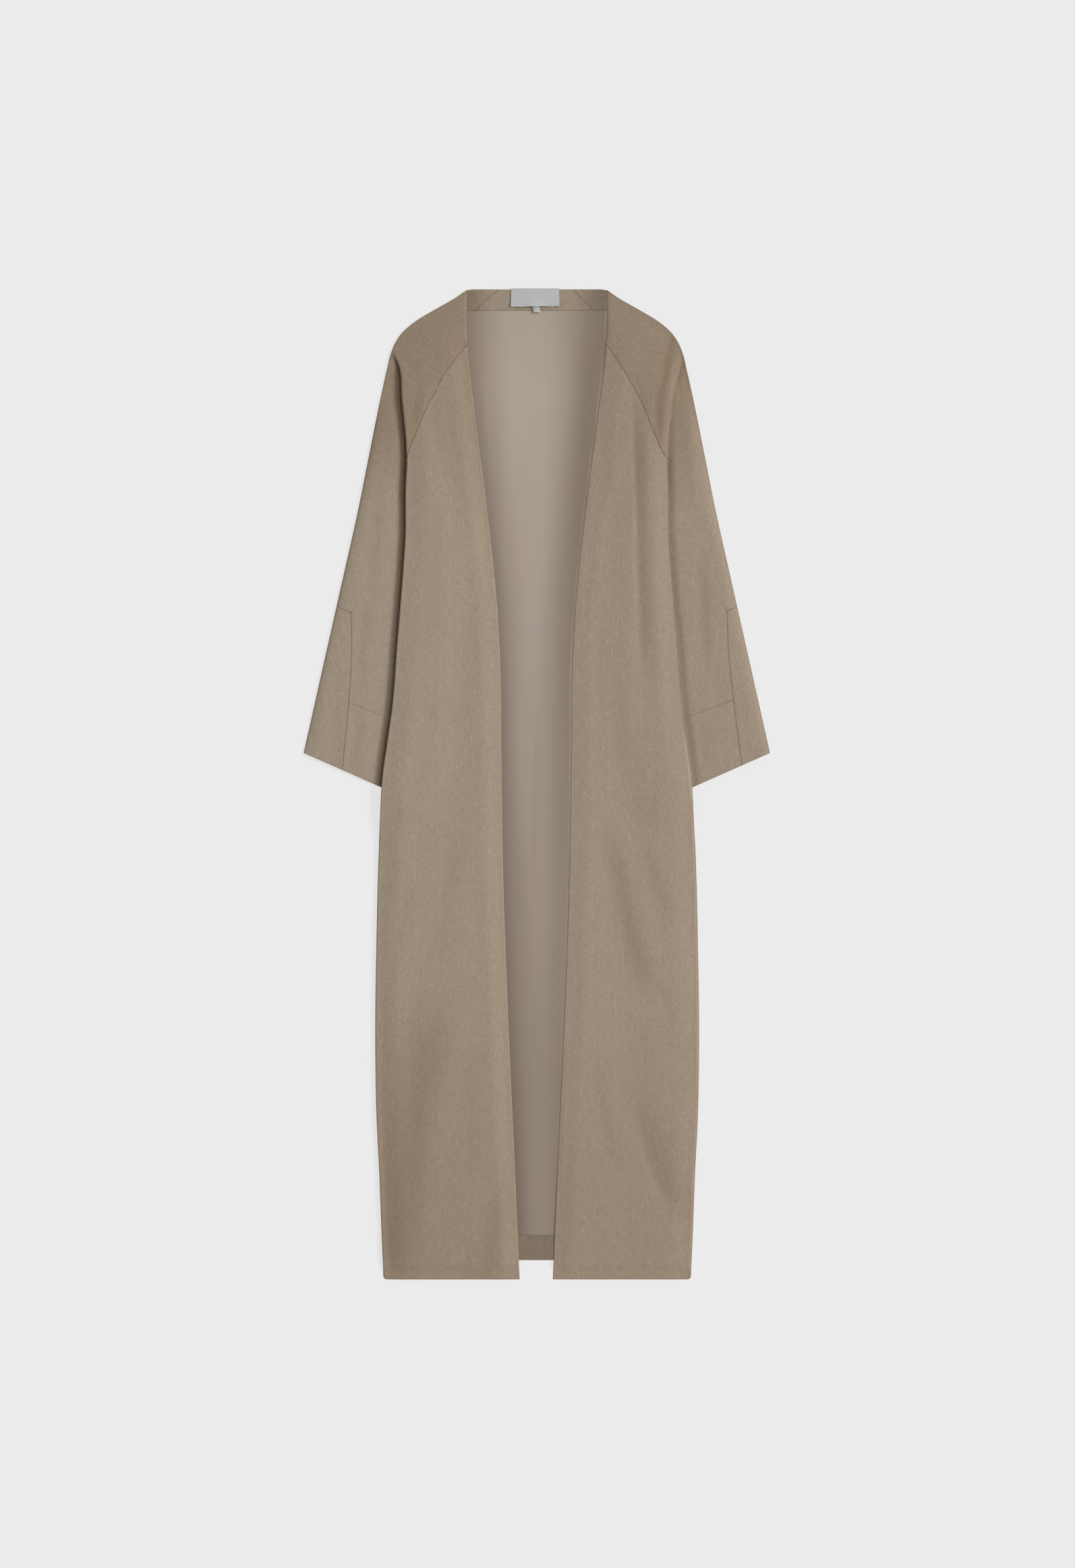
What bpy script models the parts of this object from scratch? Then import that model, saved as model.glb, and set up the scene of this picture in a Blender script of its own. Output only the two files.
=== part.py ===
# Open-fronted abaya cloak in linen, laid face up on a flat surface.
# Metres. +Y points to the neck, +X to the wearer's left, +Z up off the surface.
# "down" is a distance below the back neck edge and "half" a distance from the centre line.

import math
from collections import namedtuple

import bpy
import numpy as np

LENGTH = 1.4167             # back neck edge to front hem
BACK_LENGTH = 1.3891        # back neck edge to back hem
LABEL_RISE = 0.0029         # how far the neck label stands past the neck edge
NECK_Y = 0.5 * (LENGTH - LABEL_RISE)
CLOTH = 0.0012              # linen wall
THIN = 0.001                # lining, facings and labels
SEAM_GAP = 0.0004           # between pieces that are sewn together
LAYER_GAP = 0.0003          # between pieces that lie on each other
SLEEVE_ROOM = 0.0005        # between the two walls of a flat sleeve
SHOULDER_ROOM = 0.0016      # between the two walls of the raglan shoulder

FRONT_SLIT_DOWN = 0.0773    # where the raglan seam meets the front edge
UNDERARM_DOWN = 0.2425
UNDERARM_HALF = 0.1864
HEM_CORNER = 0.0048         # radius of the front hem's outer corner
FACING_DEPTH = 0.0294       # neck facing, measured down from the neck edge
HEM_BAND_TOP = 1.3530       # the back hem's inner band starts here
INNER_MARGIN = 0.028        # how far lining and facings run on below the fronts

SLEEVE_FRONT_Z = CLOTH + SLEEVE_ROOM
BACK_LIFT = SLEEVE_FRONT_Z + CLOTH + LAYER_GAP      # the back panel, where a sleeve lies below it
LINING_Z = CLOTH + LAYER_GAP
FRONT_Z = LINING_Z + THIN + LAYER_GAP
FRONT_LIFT = BACK_LIFT + CLOTH + 2.0 * LAYER_GAP - FRONT_Z
RAMP = 0.045                # width of the slope beside a sleeve that lies below the body
PLEAT_STEP = 0.005          # width of the step where the shoulder's pleat turns under
LOFT = 0.0020               # the fronts' soft rise above the layers below

Edge = namedtuple("Edge", "down half")
Pair = namedtuple("Pair", "down right left")
Fold = namedtuple("Fold", "side top bottom half_top half_bottom width depth")

# Shoulder fold, then the sleeve's outer fold, down to the cuff's outer corner.
OUTLINE = (
    Edge(0.0000, 0.1010), Edge(0.0116, 0.1179), Edge(0.0270, 0.1449), Edge(0.0425, 0.1710),
    Edge(0.0580, 0.1903), Edge(0.0734, 0.2019), Edge(0.0889, 0.2087), Edge(0.1120, 0.2145),
    Edge(0.1642, 0.2260), Edge(0.2415, 0.2415), Edge(0.3188, 0.2570), Edge(0.3960, 0.2743),
    Edge(0.4733, 0.2917), Edge(0.6627, 0.3342),
)
# Edge of each front panel, from the neck to the hem.
FRONT_EDGE = (
    Edge(0.0000, 0.1005), Edge(0.0773, 0.0995), Edge(0.1256, 0.0947), Edge(0.1642, 0.0898),
    Edge(0.2029, 0.0850), Edge(0.2608, 0.0773), Edge(0.3574, 0.0657), Edge(0.4540, 0.0560),
    Edge(0.5506, 0.0512), Edge(0.6472, 0.0502), Edge(0.8404, 0.0473), Edge(1.0336, 0.0406),
    Edge(1.2268, 0.0319), Edge(1.4167, 0.0237),
)
# Edge of the upper layer: the shoulder's pleat down to the underarm, then the body's side.
SIDE_EDGE = (
    Edge(0.0879, 0.2067), Edge(0.1072, 0.1980), Edge(0.1555, 0.1932), Edge(0.2425, 0.1864),
    Edge(0.2801, 0.1880), Edge(0.3574, 0.1888), Edge(0.4057, 0.1922), Edge(0.5023, 0.2000),
    Edge(0.5989, 0.2077), Edge(0.6472, 0.2145), Edge(0.6955, 0.2212), Edge(0.7631, 0.2251),
    Edge(0.8404, 0.2280), Edge(0.9370, 0.2302), Edge(1.0722, 0.2318), Edge(1.1882, 0.2299),
    Edge(1.2655, 0.2260), Edge(1.3427, 0.2231), Edge(1.4167, 0.2200),
)
# The sleeve's inner fold, hidden below the body.
INNER_EDGE = (
    Edge(0.2425, 0.1864), Edge(0.3000, 0.1600), Edge(0.4500, 0.1500), Edge(0.6335, 0.1570),
    Edge(0.7310, 0.1800),
)
# Raglan seams, which differ a little from side to side.
FRONT_RAGLAN = (
    Pair(0.0773, 0.0995, 0.0995), Pair(0.1082, 0.1236, 0.1200), Pair(0.1285, 0.1372, 0.1322),
    Pair(0.1449, 0.1449, 0.1418), Pair(0.1642, 0.1555, 0.1515), Pair(0.1932, 0.1681, 0.1630),
    Pair(0.2096, 0.1748, 0.1700), Pair(0.2289, 0.1826, 0.1785), Pair(0.2425, 0.1864, 0.1864),
)
BACK_RAGLAN = (
    Pair(0.0000, 0.0560, 0.0522), Pair(0.0294, 0.0883, 0.0821), Pair(0.0900, 0.1235, 0.1200),
    Pair(0.1500, 0.1470, 0.1430), Pair(0.2096, 0.1700, 0.1650), Pair(0.2289, 0.1785, 0.1745),
    Pair(0.2425, 0.1864, 0.1864),
)
# Where the body starts to rise over the sleeve that lies below it.
RISE_START = (
    Edge(0.0773, 0.1500), Edge(0.2425, 0.1310), Edge(0.3000, 0.1050), Edge(0.4500, 0.0950),
    Edge(0.6335, 0.1020), Edge(0.7310, 0.1250), Edge(1.4167, 0.1250),
)
# Rows of a sleeve: the outer end of each row against its inner end.
ROW_TILT = (
    Edge(0.0010, 0.0010), Edge(0.0773, 0.0750), Edge(0.2425, 0.2050), Edge(0.5150, 0.4530),
    Edge(0.6335, 0.5740), Edge(0.7310, 0.6627),
)
# Width of the elbow strip on the sleeve's front, by the outer end of the row.
STRIP_FRONT = (
    Pair(0.4530, 0.0233, 0.0165), Pair(0.5100, 0.0372, 0.0275), Pair(0.5740, 0.0475, 0.0352),
    Pair(0.6627, 0.0603, 0.0444),
)
STRIP_WHOLE = (Edge(0.4530, 0.0450), Edge(0.6627, 0.1050))
STRIP_TOP = 0.5150          # the inner end of the row at the strip's top seam
CROSS_SEAM = 0.6335         # the inner end of the row at the cuff piece's seam
CUFF = 0.7310               # the inner end of the cuff's edge

# Largest folds of the fronts: troughs in their soft rise.
FOLDS = (
    Fold(1, 0.20, 0.52, 0.142, 0.150, 0.012, 0.8),
    Fold(1, 0.74, 0.94, 0.115, 0.096, 0.014, 0.6),
    Fold(1, 0.93, 1.02, 0.183, 0.153, 0.015, 0.8),
    Fold(1, 1.16, 1.24, 0.125, 0.125, 0.015, 0.6),
    Fold(-1, 0.93, 1.18, 0.146, 0.160, 0.014, 0.5),
    Fold(-1, 1.22, 1.40, 0.170, 0.189, 0.014, 0.6),
)

# Positions of a front panel's grid columns, from its front edge (0) to its side (1).
PANEL_COLUMNS = np.array((0.0, 0.12, 0.24, 0.36, 0.48, 0.6, 0.71, 0.81, 0.9, 0.972, 0.992, 1.0))
NECK_ROWS = np.array((0.0010, 0.0116, 0.0240, 0.0370, 0.0500, 0.0635))
BODY_ROWS = np.concatenate((
    np.linspace(UNDERARM_DOWN, 0.735, 12),
    np.linspace(0.770, BACK_LENGTH, 15),
))
HEM_ROWS = np.array((0.0014, 0.0080, 0.0140, 0.0200, 0.0228, 0.0262, 0.0276)) + BACK_LENGTH


def clear_scene():
    for item in list(bpy.data.objects):
        bpy.data.objects.remove(item, do_unlink=True)


def make_material(name, color, roughness):
    material = bpy.data.materials.new(name)
    material.use_nodes = True
    shader = material.node_tree.nodes["Principled BSDF"]
    shader.inputs["Base Color"].default_value = (*color, 1.0)
    shader.inputs["Roughness"].default_value = roughness
    shader.inputs["Metallic"].default_value = 0.0
    return material


def smooth(value):
    value = np.clip(value, 0.0, 1.0)
    return value * value * (3.0 - 2.0 * value)


def read(table, down, column="half"):
    # Smooth curve through a table's rows: cubic pieces with slopes from the rows' neighbours.
    downs = np.array([row.down for row in table])
    values = np.array([getattr(row, column) for row in table])
    slopes = np.gradient(values, downs)
    down = np.clip(down, downs[0], downs[-1])
    start = np.clip(np.searchsorted(downs, down, side="right") - 1, 0, len(downs) - 2)
    step = downs[start + 1] - downs[start]
    part = (down - downs[start]) / step
    rest = 1.0 - part
    return (values[start] * rest * rest * (1.0 + 2.0 * part)
            + values[start + 1] * part * part * (3.0 - 2.0 * part)
            + step * slopes[start] * part * rest * rest
            - step * slopes[start + 1] * part * part * rest)


def side_name(side):
    return "left" if side > 0 else "right"


def place(half, down, height, side):
    # Grid points in the part's frame.
    half, down, height = np.broadcast_arrays(half, down, height)
    return np.stack((side * half, NECK_Y - down, height), axis=-1)


def lift(half, down, start, end):
    # How far the body has risen onto the sleeve below it, from 0 to 1.
    # It grows from the down "start" to "end", and ends below the cuff.
    cuff_end = 0.74
    level_again = 0.80
    amount = smooth((down - start) / (end - start))
    amount = amount * smooth((level_again - down) / (level_again - cuff_end))
    return amount * smooth((half - read(RISE_START, down)) / RAMP)


def back_height(half, down):
    return BACK_LIFT * lift(half, down, 0.200, 0.238)


def front_relief(half, down, side):
    # The soft rise of a front panel with its troughs.
    edge_width = 0.05
    rise = smooth((half - read(FRONT_EDGE, down)) / edge_width)
    rise = rise * smooth((read(SIDE_EDGE, down) - half) / edge_width)
    rise = rise * smooth((down - 0.26) / 0.10) * smooth((BACK_LENGTH - down) / 0.06)
    for fold in FOLDS:
        if fold.side == side:
            along = (down - fold.top) / (fold.bottom - fold.top)
            centre = fold.half_top + along * (fold.half_bottom - fold.half_top)
            window = smooth(along / 0.25 + 0.5) * smooth((1.0 - along) / 0.25 + 0.5)
            rise = rise * (1.0 - fold.depth * window * np.exp(-((half - centre) / fold.width) ** 2))
    return LOFT * rise


def front_height(half, down, side):
    # Underside of the upper layer, over lining and back or over the sleeve.
    return FRONT_Z + FRONT_LIFT * lift(half, down, 0.075, 0.150) + front_relief(half, down, side)


def front_seam_rows(side):
    # Downs at which the raglan seam crosses the front panel's columns.
    downs = np.linspace(FRONT_SLIT_DOWN, UNDERARM_DOWN, 400)
    edge = read(FRONT_EDGE, downs)
    seam = read(FRONT_RAGLAN, downs, side_name(side))
    across = (seam - edge) / (UNDERARM_HALF - edge)
    return np.interp(PANEL_COLUMNS, across, downs)


def grid_faces(rows, columns, keep):
    # Triangles of a grid. keep(row, column) gives "whole", "corner" or "none" for each cell.
    faces = []
    for row in range(rows - 1):
        for column in range(columns - 1):
            a = row * columns + column
            b = a + columns
            kind = keep(row, column)
            if kind != "none":
                faces.append((a, b, b + 1))
            if kind == "whole":
                faces.append((a, b + 1, a + 1))
    return faces


def whole_cells(row, column):
    return "whole"


def add_wall(name, lower, upper, material, keep=whole_cells):
    # A closed wall between two grids of points, with a rim along every free edge.
    rows, columns = lower.shape[:2]
    top = grid_faces(rows, columns, keep)
    count = rows * columns
    points = np.concatenate((upper.reshape(-1, 3), lower.reshape(-1, 3)))
    edges = {}
    for face in top:
        for start, end in zip(face, face[1:] + face[:1]):
            edges[(start, end)] = True
    faces = list(top)
    faces += [(c + count, b + count, a + count) for a, b, c in top]
    for start, end in edges:
        if (end, start) not in edges:
            faces.append((end, start, start + count))
            faces.append((end, start + count, end + count))
    corners = points[np.array(faces)]
    volume = np.einsum("ij,ij->", corners[:, 0], np.cross(corners[:, 1], corners[:, 2]))
    if volume < 0.0:
        faces = [face[::-1] for face in faces]
    used = sorted({index for face in faces for index in face})
    number = {index: place_in_list for place_in_list, index in enumerate(used)}
    faces = [tuple(number[index] for index in face) for face in faces]
    mesh = bpy.data.meshes.new(name)
    mesh.from_pydata([tuple(points[index]) for index in used], [], faces)
    mesh.shade_smooth()
    mesh.set_sharp_from_angle(angle=math.radians(40.0))
    mesh.materials.append(material)
    panel = bpy.data.objects.new(name, mesh)
    bpy.context.scene.collection.objects.link(panel)
    return panel


def add_sheet(name, points, thickness, material, keep=whole_cells):
    # A wall that rises straight up from its underside's points.
    add_wall(name, points, points + np.array((0.0, 0.0, thickness)), material, keep)


def add_tube_wall(name, middle, section, side, material, keep=whole_cells):
    # A wall of cloth to each side of its middle surface, for pieces that wrap a fold.
    # Its thickness is measured in the upright plane through each row.
    run = section["front"] - section["outer"]
    level = np.stack((run[:, 1], side * run[:, 0], 0.0 * run[:, 0]), axis=-1)
    normal = np.cross(level[:, None, :], np.gradient(middle, axis=1))
    offset = 0.5 * CLOTH * normal / np.linalg.norm(normal, axis=2, keepdims=True)
    add_wall(name, middle - offset, middle + offset, material, keep)


def build_back(linen):
    downs = np.concatenate((sleeve_back_rows()[:-1], BODY_ROWS))
    raglan_count = len(downs) - len(BODY_ROWS)
    outer = {}
    for side in (-1, 1):
        half = read(SIDE_EDGE, downs) - SEAM_GAP
        half[:raglan_count] = read(BACK_RAGLAN, downs[:raglan_count], side_name(side)) - SEAM_GAP
        inner = np.minimum(read(FRONT_EDGE, downs), 0.6 * half)
        outer[side] = inner[:, None] + PANEL_COLUMNS * (half - inner)[:, None]
    across = np.concatenate((-outer[-1][:, ::-1], np.zeros((len(downs), 1)), outer[1]), axis=1)
    down_grid = downs[:, None] + 0.0 * across
    points = place(across, down_grid, back_height(np.abs(across), down_grid), 1)
    add_sheet("back", points, CLOTH, linen)


def build_front(side, linen):
    seam_rows = front_seam_rows(side)
    downs = np.concatenate((seam_rows[:-1], BODY_ROWS, HEM_ROWS))
    seam_count = len(seam_rows) - 1
    edge = read(FRONT_EDGE, downs)
    outer = read(SIDE_EDGE, downs)
    outer[:seam_count] = UNDERARM_HALF
    corner = np.clip(downs - (LENGTH - HEM_CORNER), 0.0, HEM_CORNER)
    outer = outer - (HEM_CORNER - np.sqrt(HEM_CORNER ** 2 - corner ** 2))
    half = edge[:, None] + PANEL_COLUMNS * (outer - edge)[:, None]
    down = downs[:, None] + 0.0 * half
    height = front_height(half, down, side)
    # Below the back's hem the front settles onto the surface.
    height = height * (1.0 - smooth((down - BACK_LENGTH - 0.0014) / 0.018))
    # The side rolls down to the back panel.
    below = np.where(down > BACK_LENGTH + 0.0005, -CLOTH, back_height(half, down)) + CLOTH
    roll = np.zeros(len(PANEL_COLUMNS))
    roll[-3:] = (0.15, 0.5, 1.0)
    roll_rows = (downs > UNDERARM_DOWN + 0.01)[:, None]
    rest = np.minimum(height, below + LAYER_GAP)
    height = np.where(roll_rows, height + roll * (rest - height), height)
    points = place(half, down, height, side)

    def keep(row, column):
        if row >= seam_count or column < row:
            return "whole"
        return "corner" if column == row else "none"

    add_sheet("front_" + side_name(side), points, CLOTH, linen, keep)


def sleeve_rows(side):
    # Inner downs of a sleeve's rows: neck, raglan seam, then the free sleeve to the cuff.
    return np.concatenate((
        NECK_ROWS,
        front_seam_rows(side),
        np.linspace(UNDERARM_DOWN, STRIP_TOP, 6)[1:],
        np.linspace(STRIP_TOP, CROSS_SEAM, 4)[1:],
        np.linspace(CROSS_SEAM, CUFF, 3)[1:],
    ))


def sleeve_back_rows():
    # Downs along the back raglan seam, the same for both sleeves.
    downs = 0.5 * (sleeve_rows(-1) + sleeve_rows(1))
    return downs[:len(NECK_ROWS) + len(PANEL_COLUMNS)] - NECK_ROWS[0] * np.linspace(
        1.0, 0.0, len(NECK_ROWS) + len(PANEL_COLUMNS))


def sleeve_section(side, inner):
    # The plan ends of each row and the widths that a sleeve's columns are measured from.
    rows = len(inner)
    raglan_end = len(NECK_ROWS) + len(PANEL_COLUMNS)
    outer_down = read(ROW_TILT, inner)
    front_half = read(INNER_EDGE, inner)
    seam = read(FRONT_RAGLAN, inner, side_name(side)) + SEAM_GAP
    neck = inner < FRONT_SLIT_DOWN - 1e-6
    upper = np.arange(rows) < raglan_end
    front_half = np.where(upper, np.where(neck, read(FRONT_EDGE, inner), seam), front_half)
    back_down = inner.copy()
    back_down[:raglan_end] = sleeve_back_rows()
    back_half = front_half.copy()
    back_half[:raglan_end] = read(BACK_RAGLAN, back_down[:raglan_end], side_name(side)) + SEAM_GAP
    curl = np.where(np.arange(rows) < raglan_end, 0.001, 1.0)
    return {
        "outer": np.stack((read(OUTLINE, outer_down), outer_down), axis=-1),
        "front": np.stack((front_half, inner), axis=-1),
        "back": np.stack((back_half, back_down), axis=-1),
        "upper": upper.astype(float),
        "curl": curl,
        "front_strip": read(STRIP_FRONT, outer_down, side_name(side)),
        "back_strip": read(STRIP_WHOLE, outer_down) - read(STRIP_FRONT, outer_down, side_name(side)),
    }


def sleeve_middle(side, section, columns):
    # Middle surface of a flat sleeve. Each column is a named stretch and a place along it:
    # round the inner fold, across the front, round the outer fold, and across the back.
    outer = section["outer"]
    outer_down = outer[:, 1]
    low = SLEEVE_FRONT_Z + (SHOULDER_ROOM - SLEEVE_ROOM) * smooth((0.14 - outer_down) / 0.06)
    radius = 0.5 * low
    middle_z = 0.5 * (low + CLOTH)
    fold_start = radius + 0.5 * CLOTH
    slit = 0.5 * LAYER_GAP
    inner_turn = 0.5 * math.pi - slit / radius
    curl = section["curl"]
    inner_reach = radius / curl * np.sin(curl * inner_turn) + 0.5 * CLOTH * curl
    layers = []
    for stretch, part in columns:
        face = "back" if "back" in stretch else "front"
        inner = section[face]
        span = inner - outer
        width = np.linalg.norm(span, axis=1)
        direction = span / width[:, None]
        guide = np.minimum(section[face + "_strip"], 0.3 * width)
        height = np.full(len(width), 0.5 * CLOTH)
        if stretch in ("front", "back"):
            away = (guide + slit) + part * (width - inner_reach - guide - slit)
        elif stretch in ("front strip", "back strip"):
            away = fold_start + part * (guide - slit - fold_start)
        elif stretch == "outer fold":
            turn = part * math.pi
            away = fold_start - radius * math.sin(turn)
            height = middle_z + radius * math.cos(turn)
        else:
            turn = part * np.where(section["upper"] > 0.5, inner_turn, 0.5 * math.pi - slit / radius)
            if "closed" in stretch:
                turn = part * 0.5 * math.pi + 0.0 * width
            away = width - inner_reach + radius / curl * np.sin(curl * turn)
            height = 0.5 * CLOTH + radius / curl * (1.0 - np.cos(curl * turn))
        plan = outer + away[:, None] * direction
        if face == "front" and stretch != "outer fold":
            # The front wall is low outside the pleat's edge and joins the front panel inside it.
            edge = np.minimum(read(SIDE_EDGE, plan[:, 1]), read(OUTLINE, plan[:, 1]) - 0.002)
            inside = section["upper"] * smooth((edge - plan[:, 0]) / PLEAT_STEP)
            top = front_height(plan[:, 0], plan[:, 1], side)
            base = low + inside * (top - low) + 0.5 * CLOTH
            if "inner" in stretch:
                base = base - (height - 0.5 * CLOTH)
            height = base
        layers.append(place(plan[:, 0], plan[:, 1], height, side))
    return np.stack(layers, axis=1)


def stretch_columns(stretch, parts):
    return [(stretch, part) for part in parts]


def build_sleeve(side, linen):
    name = side_name(side)
    inner = sleeve_rows(side)
    strip_row = int(np.argmin(np.abs(inner - STRIP_TOP)))
    cross_row = int(np.argmin(np.abs(inner - CROSS_SEAM)))
    section = sleeve_section(side, inner)

    upper_columns = (
        stretch_columns("front inner fold", (1.0, 0.5))
        + stretch_columns("front", np.linspace(1.0, 0.0, 9))
        + stretch_columns("front strip", (0.66, 0.33, 0.0))
        + stretch_columns("outer fold", (0.25, 0.5, 0.75))
        + stretch_columns("back strip", (0.0, 0.5))
        + stretch_columns("back", np.linspace(0.0, 1.0, 7))
        + stretch_columns("back inner fold", (0.5, 1.0))
    )
    first_strip = 10
    last_strip = 18
    part = {key: value[:cross_row + 1] for key, value in section.items()}
    middle = sleeve_middle(side, part, upper_columns)

    def keep(row, column):
        return "none" if row >= strip_row and first_strip <= column <= last_strip else "whole"

    add_tube_wall("sleeve_" + name, middle, part, side, linen, keep)

    strip_columns = (
        stretch_columns("front strip", (1.0, 0.66, 0.33, 0.0))
        + stretch_columns("outer fold", (0.25, 0.5, 0.75))
        + stretch_columns("back strip", (0.0, 0.5, 1.0))
    )
    part = {key: value[strip_row:] for key, value in section.items()}
    middle = sleeve_middle(side, part, strip_columns)
    middle[0] = middle[0] + np.array((0.0, -SEAM_GAP, 0.0))
    add_tube_wall("sleeve_strip_" + name, middle, part, side, linen)

    cuff_columns = (
        stretch_columns("front", np.linspace(0.0, 1.0, 7))
        + stretch_columns("front inner fold closed", (0.5, 1.0))
        + stretch_columns("back inner fold closed", (0.5,))
        + stretch_columns("back", np.linspace(1.0, 0.0, 6))
    )
    part = {key: value[cross_row:] for key, value in section.items()}
    middle = sleeve_middle(side, part, cuff_columns)
    middle[0] = middle[0] + np.array((0.0, -SEAM_GAP, 0.0))
    add_tube_wall("cuff_" + name, middle, part, side, linen)


def inner_half(down):
    # Reach of the lining and facings below the fronts, inside the shoulder's fold.
    return np.minimum(read(FRONT_EDGE, down) + INNER_MARGIN, read(OUTLINE, down) - 0.0025)


def add_inner_strip(name, downs, start, end, material, side=1):
    # A thin sheet on the back's inside, between two half widths given for each row.
    across = np.linspace(0.0, 1.0, 7)
    half = start[:, None] + across * (end - start)[:, None]
    add_sheet(name, place(half, downs[:, None], LINING_Z, side), THIN, material)


def build_inside(linen, lining):
    facing_downs = np.array((0.0, 0.006, 0.012, 0.018, 0.024, FACING_DEPTH))
    raglan = {side: read(BACK_RAGLAN, facing_downs, side_name(side)) for side in (-1, 1)}
    half_gap = 0.75 * SEAM_GAP
    add_inner_strip("neck_facing_centre", facing_downs, -raglan[-1] + half_gap,
                    raglan[1] - half_gap, linen)
    for side in (-1, 1):
        add_inner_strip("neck_facing_" + side_name(side), facing_downs, raglan[side] + half_gap,
                        inner_half(facing_downs), linen, side)
    lining_downs = np.concatenate((
        np.linspace(FACING_DEPTH + LAYER_GAP, 0.6, 14),
        np.linspace(0.66, HEM_BAND_TOP, 9),
    ))
    half = inner_half(lining_downs)
    add_inner_strip("back_lining", lining_downs, -half, half, lining)
    band_downs = np.array((HEM_BAND_TOP + LAYER_GAP, BACK_LENGTH - LAYER_GAP))
    half = inner_half(band_downs)
    add_inner_strip("hem_band", band_downs, -half, half, linen)


def add_tag(name, centre, width, top, bottom, material):
    # A woven tag on the neck facing.
    tag_z = LINING_Z + THIN + LAYER_GAP
    across = centre + width * np.array((-0.5, 0.0, 0.5))
    downs = np.array((top, 0.5 * (top + bottom), bottom))
    add_sheet(name, place(across[None, :], downs[:, None], tag_z, 1), THIN, material)


def build_labels(tape):
    label_bottom = 0.0234
    add_tag("neck_label", -0.0024, 0.0686, -LABEL_RISE, label_bottom, tape)
    add_tag("size_tab", -0.0005, 0.0097, label_bottom + LAYER_GAP, 0.0319, tape)


def main():
    clear_scene()
    linen = make_material("linen", (0.330, 0.262, 0.188), 0.88)
    lining = make_material("lining", (0.365, 0.300, 0.242), 0.62)
    tape = make_material("label_tape", (0.445, 0.455, 0.465), 0.70)
    build_back(linen)
    for side in (-1, 1):
        build_front(side, linen)
        build_sleeve(side, linen)
    build_inside(linen, lining)
    build_labels(tape)


main()
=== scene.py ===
import math

import bpy
import numpy as np
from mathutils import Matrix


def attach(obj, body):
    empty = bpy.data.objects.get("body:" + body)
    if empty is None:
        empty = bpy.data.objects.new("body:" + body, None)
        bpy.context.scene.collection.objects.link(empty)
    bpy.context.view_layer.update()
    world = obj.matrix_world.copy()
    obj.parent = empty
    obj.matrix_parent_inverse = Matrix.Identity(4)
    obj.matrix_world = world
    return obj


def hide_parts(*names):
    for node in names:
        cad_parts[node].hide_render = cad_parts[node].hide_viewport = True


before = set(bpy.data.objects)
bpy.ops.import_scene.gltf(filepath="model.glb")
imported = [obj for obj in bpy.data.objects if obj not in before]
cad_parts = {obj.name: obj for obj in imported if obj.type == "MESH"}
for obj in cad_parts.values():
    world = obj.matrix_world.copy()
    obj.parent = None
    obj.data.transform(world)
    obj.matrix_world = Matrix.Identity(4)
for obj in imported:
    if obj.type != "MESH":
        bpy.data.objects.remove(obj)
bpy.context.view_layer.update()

# Open linen cloak, laid face up. Metres, neck towards +Y, wearer's left towards +X.
# "down" runs from the back neck edge to the hem, "half" out from the centre line.
cloak = {
    "length": 1.4167, "backLength": 1.3891, "labelRise": 0.0029, "neckRise": 0.0012,
    "cloth": 0.0009,            # thickness of the linen shells
    "slitDown": 0.0773,         # the raglan seam meets the front edge here
    "underarmDown": 0.2425,
    "stripTop": 0.5150, "crossSeam": 0.6335, "cuffEnd": 0.7310,
    "frontZ": 0.0028,           # underside of the fronts over the lining
    "frontLift": 0.0022,        # more where a sleeve lies below
    "backLift": 0.0032,
    "seamGap": 0.0001,          # half of the slit between two sewn pieces
    "clear": 0.0003,            # air between layers that lie on each other
    "seamDip": 0.00014, "seamWidth": 0.0011,
    "seamFade": 0.30, "seamFadeWidth": 0.0009,
    "edgeDark": {-1: 0.03, 1: 0.22}, "edgeDarkWidth": 0.0016, "hemDark": 0.12,
    "edgeThin": 0.6, "edgeThinWidth": 0.0008,  # a folded edge is pressed thinner
    "rise": 0.045,              # width of the slope over a sleeve
}
neckY = 0.5 * (cloak["length"] - cloak["labelRise"])
cloth = cloak["cloth"]

# outlines: (down, half) rows
outline = ((0.0, 0.101), (0.0116, 0.1179), (0.027, 0.1449), (0.0425, 0.171), (0.058, 0.1903),
           (0.0734, 0.2019), (0.0889, 0.2087), (0.112, 0.2145), (0.1642, 0.226), (0.2415, 0.2415),
           (0.3188, 0.257), (0.396, 0.2743), (0.4733, 0.2917), (0.6627, 0.3342))
frontEdge = ((0.0, 0.1005), (0.0773, 0.0995), (0.1256, 0.0947), (0.1642, 0.0898), (0.2029, 0.085),
             (0.2608, 0.0773), (0.3574, 0.0657), (0.454, 0.056), (0.5506, 0.0512), (0.6472, 0.0502),
             (0.8404, 0.0473), (1.0336, 0.0406), (1.2268, 0.0319), (1.4167, 0.0237))
sideEdge = ((0.0879, 0.2067), (0.1072, 0.198), (0.1555, 0.1932), (0.2425, 0.1864), (0.2801, 0.188),
            (0.3574, 0.1888), (0.4057, 0.1922), (0.5023, 0.2), (0.5989, 0.2077), (0.6472, 0.2145),
            (0.6955, 0.2212), (0.7631, 0.2251), (0.8404, 0.228), (0.937, 0.2302), (1.0722, 0.2318),
            (1.1882, 0.2299), (1.2655, 0.226), (1.3427, 0.2231), (1.4167, 0.22))
innerEdge = ((0.2425, 0.1864), (0.3, 0.16), (0.45, 0.15), (0.6335, 0.157), (0.731, 0.18))
riseStart = ((0.0773, 0.15), (0.2425, 0.131), (0.3, 0.105), (0.45, 0.095), (0.6335, 0.102), (0.731, 0.125),
             (1.4167, 0.125))
rowTilt = ((0.001, 0.001), (0.0773, 0.075), (0.2425, 0.205), (0.515, 0.453), (0.6335, 0.574),
           (0.731, 0.6627))
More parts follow.
